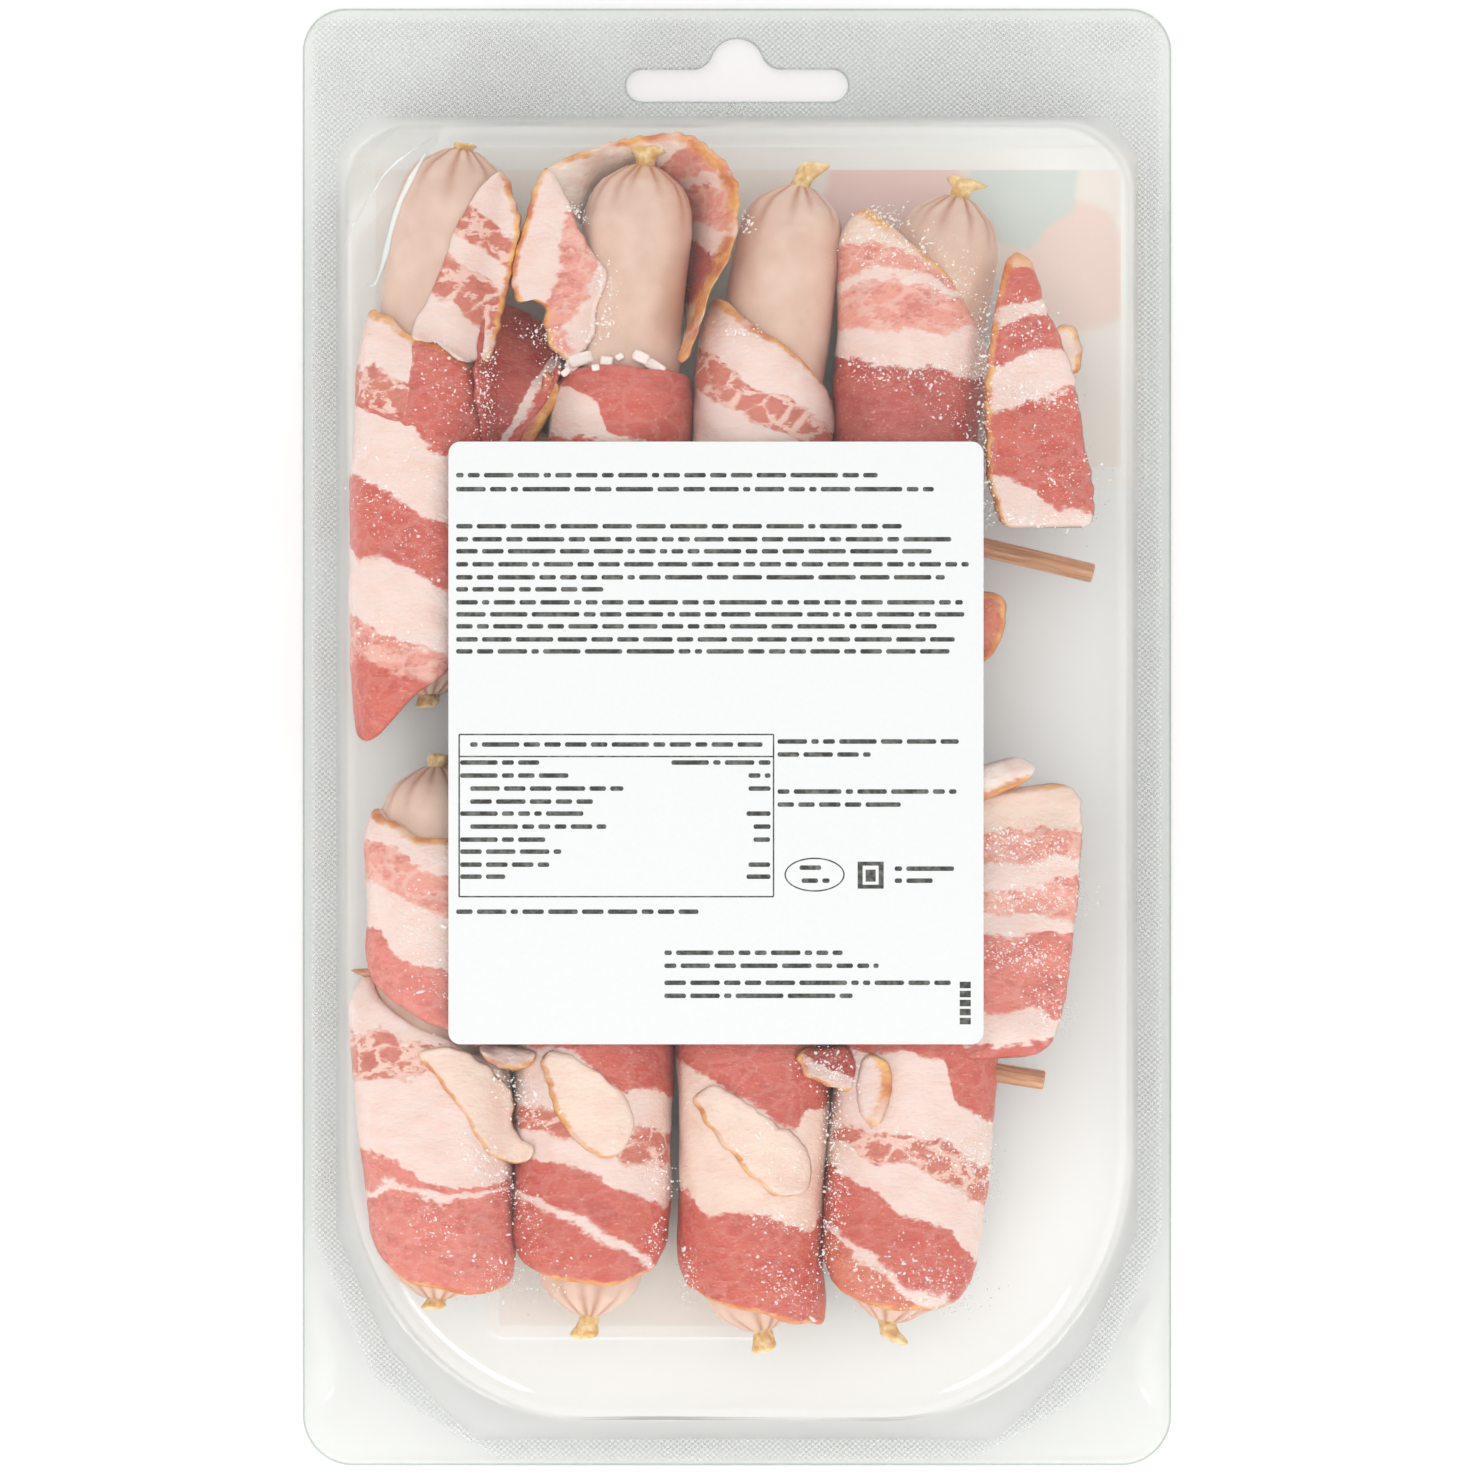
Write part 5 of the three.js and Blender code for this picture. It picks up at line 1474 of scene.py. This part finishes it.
def distance_to(outline, points):
    """Distance of each point of the plan from a closed outline."""
    best = np.full(len(points), 1e9)
    for a, b in zip(outline, np.roll(outline, -1, axis=0)):
        along = np.clip(((points - a) @ (b - a)) / max(1e-9, ((b - a) ** 2).sum()), 0, 1)
        best = np.minimum(best, np.linalg.norm(points - a - along[:, None] * (b - a), axis=1))
    return best


def seal_depth(points):
    """How far inside the waffled seal band each point of the flange is, in millimetres."""
    plan = np.stack([np.abs(points[:, 0]), points[:, 1]], -1)
    gap = distance_to(SEAL, plan)
    return np.where(inside(SEAL, plan), gap, -gap)


def push_in(points):
    """The upper left corner, pushed in as far as a slanted plane."""
    off = points - DENT_PLACE
    beyond = off[:, 0] * DENT_X + off[:, 1] * DENT_Y + DENT_RISE * off[:, 2]
    hit = (beyond > 0) & (points[:, 0] < 0) & (points[:, 1] > 0) & (points[:, 2] > FLANGE_TOP + 1)
    points = points.copy()
    points[hit, 0] -= DENT_X * beyond[hit]
    points[hit, 1] -= DENT_Y * beyond[hit]
    return points


# The wall's profile: how far in it lies at each height, and then round its edge to the floor.
EDGE_STEPS = 14
wall = [(0.0, FLANGE_TOP), (0.08, FLANGE_TOP + 0.5), (0.3, FLANGE_TOP + 4), (0.6, 10), (0.9, 15)]
for step in range(EDGE_STEPS + 1):
    angle = step / EDGE_STEPS * math.pi / 2
    inset = WALL_DRAFT + FLOOR_EDGE * (1 - math.cos(angle))
    wall.append((inset, PACK_HEIGHT - FLOOR_EDGE * (1 - math.sin(angle))))
FLEX = 0.2
rings = []
for inset, height in wall:
    outline = cavity_outline(inset)
    ring = push_in(np.column_stack([outline, np.full(len(outline), height)]))
    bend = math.sin(math.pi * (height - FLANGE_TOP) / (PACK_HEIGHT - FLANGE_TOP))
    flex = FLEX * ripple(ring, 40, 7) * bend
    ring[:, :2] *= 1 + flex[:, None] / PACK_HALF_LENGTH
    rings.append(ring)
count = len(rings[0])
foot = rings[0][:, :2]
floor_outline = rings[-1][:, :2]
print("wall rings", len(rings), "of", count, "points")

# %% Flange and floor
FLANGE_STEP = 1.15
FLOOR_STEP = 3.0
flange_points, flange_faces = fill_plan(pack_outline(), [foot, hang_hole()], FLANGE_STEP)
floor_points, floor_faces = fill_plan(floor_outline, [], FLOOR_STEP)
flange_z = np.full(len(flange_points), FLANGE_TOP)
edge_gap = distance_to(pack_outline(), flange_points)
flange_z -= 0.12 * np.exp(-((edge_gap / 0.7) ** 2))
calm_edge = np.clip(edge_gap / 4, 0, 1)
calm_foot = np.clip(distance_to(foot, flange_points) / 3, 0, 1)
flange_z += 0.05 * ripple(flange_points, 26, 9) * calm_edge * calm_foot
for side in (-1, 1):
    rim = DIMPLE * (side, 1)
    rise = np.clip(distance_to(rim, flange_points) / DIMPLE_SLOPE, 0, 1)
    flange_z += np.where(inside(rim, flange_points), DIMPLE_HEIGHT * rise * rise * (3 - 2 * rise), 0)
floor_z = np.full(len(floor_points), float(PACK_HEIGHT))
floor_gap = np.clip(distance_to(floor_outline, floor_points) / 12, 0, 1)
floor_z -= 0.1 * (1 + ripple(floor_points, 55, 10)) * floor_gap
print("flange and floor triangles", len(flange_faces), len(floor_faces))

# %% [markdown]
# Wall, flange and floor are joined into one sheet. A layer called seal says how far inside the
# waffled band a point is, and one called cut how far it is from a cut edge, in millimetres.

# %% One sheet
UNSEALED = -9.0
UNCUT = 9.0
flange_start = len(rings) * count
floor_start = flange_start + len(flange_points)
flange = np.column_stack([flange_points, flange_z])
floor = np.column_stack([floor_points, floor_z])
points = np.concatenate([*rings, flange, floor])
faces = [face[::-1] for face in grid_faces(len(rings), count, round_columns=True)]
faces += (flange_faces + flange_start).tolist()
faces += (floor_faces + floor_start).tolist()
seal = np.full(len(points), UNSEALED)
seal[flange_start:floor_start] = seal_depth(flange_points)
seal[:count] = -1.0
cut = np.full(len(points), UNCUT)
cut[flange_start:floor_start] = np.minimum(edge_gap, distance_to(hang_hole(), flange_points))
tray = make_piece("tray_sheet", points, faces, {"seal": seal, "cut": cut})
weld(tray, 0.02)
solidify = tray.modifiers.new("thickness", "SOLIDIFY")
solidify.thickness = SHEET * MM
solidify.offset = -1
print("tray skin:", len(points), "points")

# %% [markdown]
# ## Clear plastic
# Clear sheet is nearly all see-through. What the eye gets is a faint haze, a mirror-like gloss
# that grows where the sheet turns away, a grey-green line along each cut edge, and the fine
# waffle that the sealing tool pressed into the flange. A see-through shader is mixed with a
# mirror, with more of the mirror where the sheet is steep, and with dull white where it is
# waffled.

# %% Plastic finishes
WAFFLE_X = 1.1
WAFFLE_Y = 0.98


def plastic(name, haze, edge, tint, waffled):
    """Clear plastic with a faint haze and a gloss that grows by edge where it turns away."""
    bench = Bench(name)
    facing = bench.add("ShaderNodeLayerWeight", {"Blend": 0.5}).outputs["Facing"]
    steep = bench.math("MULTIPLY", bench.math("POWER", facing, 2.2), edge)
    cloud = bench.ramp(bench.noise(18, 1), 0.3, 0.7, 0.75, 1.25)
    amount = bench.math("ADD", bench.math("MULTIPLY", cloud, haze), steep)
    height = bench.noise(14, 0)
    normal = bench.bump(height, 0.25)
    bench.set(Metallic=1.0)
    if waffled:
        spots = bench.add("ShaderNodeSeparateXYZ", {"Vector": bench.place})
        across = bench.math("SINE", bench.math("MULTIPLY", spots.outputs["X"], 2 * math.pi / WAFFLE_X))
        down = bench.math("SINE", bench.math("MULTIPLY", spots.outputs["Y"], 2 * math.pi / WAFFLE_Y))
        stud = bench.ramp(bench.math("MULTIPLY", across, down), -0.5, 0.5)
        pressed = bench.ramp(bench.layer("seal"), -0.2, 0.35)
        mask = bench.math("MULTIPLY", pressed, bench.ramp(cloud, 0.75, 1.25, 0.6, 1.0))
        frosted = bench.math("MULTIPLY", mask, bench.math("MULTIPLY_ADD", stud, 0.24, 0.06))
        amount = bench.math("ADD", amount, frosted)
        normal = bench.bump(bench.math("MULTIPLY", stud, mask), 0.03, normal)
        cut_edge = bench.ramp(bench.layer("cut"), 0.5, 0.1)
        tint = bench.mix(cut_edge, tint, (0.8, 0.83, 0.81, 1))
        bench.set(Metallic=bench.math("SUBTRACT", 1.0, mask))
    bench.set(
        Base_Color=bench.mix(cloud, tone(236, 240, 237), tone(247, 249, 247)),
        Roughness=bench.ramp(height, 0.2, 0.8, 0.08, 0.2),
        Normal=normal,
    )
    return bench.see_through(bench.math("MINIMUM", amount, 0.9), tint)


SHEET_FINISH = plastic("clear_sheet", 0.018, 0.26, (0.997, 0.998, 0.994, 1), True)
FILM_FINISH = plastic("lid_film", 0.016, 0.16, (0.996, 0.997, 0.992, 1), False)
settle(tray, SHEET_FINISH, "tray_sheet", "tray")
coat(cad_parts["lid_film"], FILM_FINISH)
print("tray settled")

# %% [markdown]
# ## Creases in the plastic
# Where the corner was pushed in, the sheet folded into a sharp bright crease with a hooked end.
# A thin tapered ridge lies along it, in the same plastic but glossier, and a finer one runs
# beside it.

# %% Crease ridges
CREASE_FINISH = plastic("creased_sheet", 0.5, 0.4, (0.99, 0.995, 0.99, 1), False)
# The line in picture points and the greatest half width in millimetres.
CREASES = [
    ([(428, 152), (413, 178), (400, 205), (391, 234), (386, 256), (380, 275), (374, 286), (367, 286)], 0.6),
    ([(343, 243), (366, 205), (392, 168), (432, 139)], 0.2),
]


CREASE_ROWS = 70
CREASE_SIDES = 12


def crease(order, line, half_width):
    path = smooth_line(places(line), CREASE_ROWS)
    way = np.gradient(path, axis=0)
    way /= np.linalg.norm(way, axis=1)[:, None]
    side = np.stack([way[:, 1], -way[:, 0]], -1)
    share = np.linspace(0, 1, CREASE_ROWS)
    wide = half_width * (np.sin(math.pi * share) ** 0.6 + 0.05) * (1 + 0.2 * ripple(path, 6, 70 + order))
    turn = np.linspace(0, 2 * math.pi, CREASE_SIDES, endpoint=False)
    across = wide[:, None] * np.cos(turn)
    x = path[:, :1] + side[:, :1] * across
    y = path[:, 1:] + side[:, 1:] * across
    z = sheet_height(x, y) + 0.45 * wide[:, None] * np.sin(turn)
    points = np.stack([x, y, z], -1).reshape(-1, 3)
    return make_piece(f"sheet_crease_{order}", points, closed_tube(CREASE_ROWS, CREASE_SIDES))


def sheet_height(x, y):
    """Height of the tray's skin over the plan, near the edge of its floor."""
    outline = cavity_outline(0)
    gap = distance_to(outline, np.stack([x.ravel(), y.ravel()], -1)).reshape(x.shape)
    over = np.clip((gap - WALL_DRAFT) / FLOOR_EDGE, 0, 1)
    return PACK_HEIGHT - FLOOR_EDGE * (1 - np.sqrt(np.clip(1 - (1 - over) ** 2, 0, 1)))


for order, (line, half_width) in enumerate(CREASES):
    settle(crease(order, line, half_width), CREASE_FINISH, "tray_sheet")
print("creases", len(CREASES))

# %% [markdown]
# ## Labels
# The white label on the tray's floor is matt paper with small dark print. The two front labels
# are stuck to the lid film, so they are seen from behind here, and their print shows through
# the paper as soft washes of colour. The print on the packaging is a plain layout of bars.

# %% Paper finishes
bench = Bench("label_paper")
paper_grain = bench.noise(0.8, 4)
PAPER = bench.set(
    Base_Color=bench.mix(paper_grain, tone(228, 229, 229), tone(233, 234, 234)),
    Roughness=bench.ramp(paper_grain, 0.2, 0.8, 0.55, 0.7),
    Specular_IOR_Level=0.3,
    Normal=bench.bump(paper_grain, 0.02),
)


def front_paper(name, fields, middle):
    """A printed label: fields has each wash's middle, reach and colour, and middle says where the
    print is and its half sizes, with the bare white margin outside it.
    """
    bench = Bench(name)
    colour = bench.mix(bench.noise(30, 2), tone(249, 243, 237), tone(250, 236, 229))
    for (x, y), reach, wash in fields:
        away = bench.add("ShaderNodeVectorMath", {0: bench.place, 1: (x, y, 0.1)}, operation="DISTANCE")
        away = away.outputs["Value"]
        uneven = bench.math("ADD", away, bench.math("MULTIPLY_ADD", bench.noise(16, 2), 12.0, -6.0))
        colour = bench.mix(bench.ramp(uneven, reach, reach * 0.8, 0.0, 0.85), colour, wash)
    spots = bench.add("ShaderNodeSeparateXYZ", {"Vector": bench.place})
    off = []
    for side, centre, half in zip("XY", *middle):
        away = bench.math("ABSOLUTE", bench.math("SUBTRACT", spots.outputs[side], centre))
        off.append(bench.math("SUBTRACT", away, half))
    border = bench.ramp(bench.math("MAXIMUM", *off), -0.2, 0.2)
    colour = bench.mix(border, colour, tone(253, 251, 249))
    up = bench.add("ShaderNodeSeparateXYZ", {"Vector": bench.add("ShaderNodeNewGeometry").outputs["Normal"]})
    behind = bench.ramp(up.outputs["Z"], -0.1, 0.1, 0.0, 0.2)
    colour = bench.mix(behind, colour, tone(250, 247, 243))
    rough = bench.ramp(bench.noise(2, 3), 0.3, 0.7, 0.4, 0.55)
    return bench.set(Base_Color=colour, Roughness=rough, Specular_IOR_Level=0.35)


FRONT_FIELDS = [
    ((30, 92), 17, tone(250, 202, 196)),
    ((60, 84), 13, tone(250, 216, 206)),
    ((50, 100), 12, tone(212, 226, 222)),
    ((-20, 84), 20, tone(214, 218, 206)),
    ((-52, 66), 18, tone(242, 226, 212)),
    ((48, 58), 14, tone(246, 224, 218)),
    ((2, 54), 16, tone(206, 204, 192)),
]
SMALL_FIELDS = [((-18, -84), 18, tone(252, 244, 236)), ((-34, -76), 12, tone(244, 234, 226))]
label_finishes = {
    "front_label": front_paper("front_label_print", FRONT_FIELDS, ((2, 74.75), (66.5, 26.5))),
    "front_label_small": front_paper("front_label_small_print", SMALL_FIELDS, ((-18.5, -84.6), (24, 20.5))),
    "back_label": PAPER,
}
for name, finish in label_finishes.items():
    coat(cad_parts[name], finish)
print("labels", len(label_finishes))

# %% Print on the back label
bench = Bench("print_ink")
fade = bench.noise(1.2, 3)
INK = bench.set(
    Base_Color=bench.mix(bench.ramp(fade, 0.35, 0.75), tone(66, 66, 64), tone(120, 120, 116)),
    Roughness=bench.ramp(fade, 0.2, 0.8, 0.5, 0.7),
    Specular_IOR_Level=0.2,
)
PRINT_LEVEL = 28.215
BAR_HEIGHT = 0.8
WORDS = [1.3, 2.1, 2.9, 3.8, 5.2, 6.6, 8.4]  # lengths, and how often each comes
WORD_ODDS = [0.12, 0.15, 0.17, 0.2, 0.17, 0.12, 0.07]
WORD_GAP = 0.75
rng = np.random.default_rng(3)
ink_points, ink_faces = [], []


def ink_shape(outline):
    first = len(ink_points)
    ink_points.extend([(x, y, PRINT_LEVEL) for x, y in outline])
    ink_faces.append(tuple(range(first, first + len(outline))))


def ink_bar(x0, x1, y):
    """A bar with softly cut ends."""
    h = BAR_HEIGHT / 2
    c = min(0.22, (x1 - x0) / 3)
    ink_shape([(x0 + c, y - h), (x1 - c, y - h), (x1, y - h + c), (x1, y + h - c),
               (x1 - c, y + h), (x0 + c, y + h), (x0, y + h - c), (x0, y - h + c)])


def ink_block(px0, py0, px1, py1):
    """A plain block between two corners in picture points."""
    (x0, y1), (x1, y0) = at(px0, py0), at(px1, py1)
    ink_shape([(x0, y0), (x1, y0), (x1, y1), (x0, y1)])


def print_line(px0, px1, py):
    """One line of print: bars of uneven length with small gaps."""
    x, y = at(px0, py)
    end, _ = at(px1, py)
    while x < end - 0.8:
        word = min(rng.choice(WORDS, p=WORD_ODDS), end - x)
        ink_bar(x, x + word, y)
        x += word + WORD_GAP


def ink_rule(px0, py0, px1, py1, width=0.26):
    (x0, y0), (x1, y1) = at(px0, py0), at(px1, py1)
    w = width / 2
    if abs(x1 - x0) > abs(y1 - y0):
        ink_shape([(x0, y0 - w), (x1, y0 - w), (x1, y0 + w), (x0, y0 + w)])
    else:
        ink_shape([(x0 - w, y1), (x0 + w, y1), (x0 + w, y0), (x0 - w, y0)])


for left, right, row in [
    (457, 878, 476), (457, 934, 490), (457, 902, 527), (457, 958, 540), (457, 940, 552), (457, 969, 565),
    (457, 945, 578), (457, 610, 590), (457, 963, 603), (457, 973, 615), (457, 937, 627), (457, 955, 640),
    (457, 956, 652), (471, 763, 745), (461, 540, 763), (461, 576, 776), (471, 624, 789), (471, 602, 802),
    (461, 584, 814), (471, 607, 827), (461, 546, 840), (461, 562, 852), (461, 550, 865), (461, 506, 877),
    (672, 771, 763), (749, 771, 776), (749, 771, 789), (747, 771, 814), (754, 771, 827), (754, 771, 840),
    (749, 771, 865), (747, 771, 877), (778, 959, 742), (778, 871, 755), (778, 961, 792), (778, 901, 805),
    (895, 962, 869), (895, 933, 881), (457, 699, 912), (665, 843, 953), (665, 879, 966), (665, 955, 983),
    (665, 853, 996), (800, 826, 868), (802, 830, 881),
]:
    print_line(left, right, row)
# The table's rules, the oval, the square and the stacked blocks.
TABLE_LEFT, TABLE_RIGHT = 460, 774
for row in (735, 757, 897):
    ink_rule(TABLE_LEFT, row, TABLE_RIGHT, row)
for column in (TABLE_LEFT, TABLE_RIGHT):
    ink_rule(column, 735, column, 897)
ring_x, ring_y = at(815, 875)
turns = np.linspace(0, 2 * math.pi, 49)
for a, b in zip(turns, turns[1:]):
    ink_shape([(ring_x + rx * math.cos(t), ring_y + ry * math.sin(t))
               for t, rx, ry in ((a, 5.3, 3.0), (b, 5.3, 3.0), (b, 5.05, 2.75), (a, 5.05, 2.75))][::-1])
for corners in [(858, 862, 884, 866), (858, 885, 884, 889), (858, 866, 863, 885), (879, 866, 884, 885),
                (866, 870, 876, 882)]:
    ink_block(*corners)
for row in (982, 991, 1000, 1009, 1018):
    ink_block(960, row, 971, row + 6.5)
ink = make_piece("label_print", ink_points, ink_faces)
settle(ink, INK, "label_paper")
print("print shapes", len(ink_faces))

# %% [markdown]
# ## Moisture under the tray
# Where the meat presses on the plastic, small beads of moisture and air are trapped. They are
# tiny flat-sided domes hanging from the inside of the tray's floor, most of them along the edges
# of the bacon. They are real shapes with a real gloss, and their white colour is a painted glint,
# half opaque where a bead is seen face-on and nearly clear at its sides.

# %% Beads
bench = Bench("moisture")
bead_noise = bench.noise(1.5, 2)
# Painted glint: the beads are clear water and air, and this white colour stands for the light they catch.
bench.set(
    Base_Color=bench.mix(bead_noise, tone(255, 255, 254), tone(250, 247, 242)),
    Roughness=bench.ramp(bead_noise, 0.2, 0.8, 0.05, 0.15),
    Specular_IOR_Level=0.8,
)
facing = bench.add("ShaderNodeLayerWeight", {"Blend": 0.4}).outputs["Facing"]
MOISTURE_AND_GLINT = bench.see_through(bench.ramp(facing, 0.02, 0.5, 0.5, 0.05), (0.99, 0.99, 0.99, 1))

# Lines along which beads gather, with how many and how far they stray, in picture points.
BEAD_LINES = [
    ([(490, 350), (486, 400), (490, 425)], 60, 5), ([(420, 360), (470, 400), (480, 430)], 70, 22),
    ([(520, 330), (560, 345), (545, 380)], 60, 8), ([(570, 205), (585, 222)], 22, 4),
    ([(598, 262), (612, 290), (590, 350)], 50, 7), ([(745, 215), (748, 232)], 12, 3),
    ([(860, 250), (900, 240), (935, 265), (960, 300)], 130, 14),
    ([(850, 365), (900, 378), (980, 372)], 110, 9), ([(985, 300), (985, 430), (992, 520)], 120, 5),
    ([(1000, 400), (1050, 395), (1075, 400)], 70, 9), ([(1010, 310), (1040, 330), (1000, 365)], 60, 12),
    ([(1040, 430), (1070, 500)], 60, 22), ([(930, 400), (975, 430)], 30, 10),
    ([(1000, 518), (1060, 524), (1092, 518)], 40, 4), ([(355, 480), (400, 520), (440, 560)], 60, 16),
    ([(430, 440), (400, 520)], 30, 20), ([(360, 620), (420, 650)], 30, 10),
    ([(410, 880), (430, 960), (445, 1010)], 60, 14), ([(470, 1150), (520, 1200), (530, 1230)], 90, 9),
    ([(505, 1070), (540, 1120)], 60, 10), ([(420, 1210), (440, 1240)], 40, 14),
    ([(470, 1270), (560, 1285)], 60, 18), ([(640, 1130), (665, 1190)], 40, 10),
    ([(660, 1220), (650, 1260)], 26, 5), ([(820, 1060), (845, 1080)], 60, 13),
    ([(835, 1110), (835, 1200), (822, 1270)], 150, 7),
    ([(900, 1140), (980, 1170), (985, 1200)], 110, 11), ([(984, 1120), (992, 1190)], 24, 5),
    ([(690, 1250), (690, 1300)], 30, 5), ([(760, 1270), (810, 1300)], 70, 12),
    ([(850, 1270), (900, 1290), (980, 1290)], 90, 14), ([(990, 840), (1060, 850)], 110, 12),
    ([(990, 900), (1070, 900)], 80, 8), ([(990, 950), (1060, 960)], 110, 10),
    ([(1040, 990), (1060, 1020)], 50, 10), ([(1060, 880), (1095, 910)], 20, 8),
    ([(900, 1250), (960, 1280)], 40, 14), ([(750, 1215), (810, 1228)], 40, 6),
    ([(870, 210), (900, 222)], 26, 5), ([(720, 330), (760, 335)], 16, 4),
    ([(740, 1130), (790, 1180)], 34, 14),
]
BEAD_SIDES = 7
BEAD_CROWD = 3  # beads made for each one counted in a line
SMALLEST_BEAD = 0.06
LARGEST_BEAD = 0.3
BEAD_SPREAD = 0.042
BEAD_LEVEL = PACK_HEIGHT - SHEET - 0.02
rng = np.random.default_rng(11)
bead_points, bead_faces = [], []
turn = np.linspace(0, 2 * math.pi, BEAD_SIDES, endpoint=False)
for line, number, stray in BEAD_LINES:
    path = smooth_line(places(line), 60)
    for _ in range(BEAD_CROWD * number):
        x, y = path[rng.integers(60)] + rng.normal(size=2) * stray * PICTURE_SCALE
        size = min(LARGEST_BEAD, SMALLEST_BEAD + rng.exponential(BEAD_SPREAD))
        stretch = 1 + rng.exponential(0.35)
        lean = rng.uniform(0, math.pi)
        depth = size * rng.uniform(0.5, 0.9)
        first = len(bead_points)
        for share, drop in ((1.0, 0.0), (0.75, 0.62)):
            u = size * share * stretch * np.cos(turn)
            v = size * share * np.sin(turn)
            ring_x = u * math.cos(lean) - v * math.sin(lean)
            ring_y = u * math.sin(lean) + v * math.cos(lean)
            z = BEAD_LEVEL - depth * drop
            bead_points += [(x + a, y + b, z) for a, b in zip(ring_x, ring_y)]
        bead_points.append((x, y, BEAD_LEVEL - depth))
        for j in range(BEAD_SIDES):
            k = (j + 1) % BEAD_SIDES
            bead_faces.append((first + j, first + k, first + BEAD_SIDES + k, first + BEAD_SIDES + j)[::-1])
            bead_faces.append((first + BEAD_SIDES + j, first + BEAD_SIDES + k, first + 2 * BEAD_SIDES)[::-1])
        bead_faces.append(tuple(range(first, first + BEAD_SIDES)))
beads = make_piece("moisture_beads", bead_points, bead_faces)
beads.data.shade_flat()
settle(beads, MOISTURE_AND_GLINT, "tray_sheet")
print("bead faces", len(bead_faces))
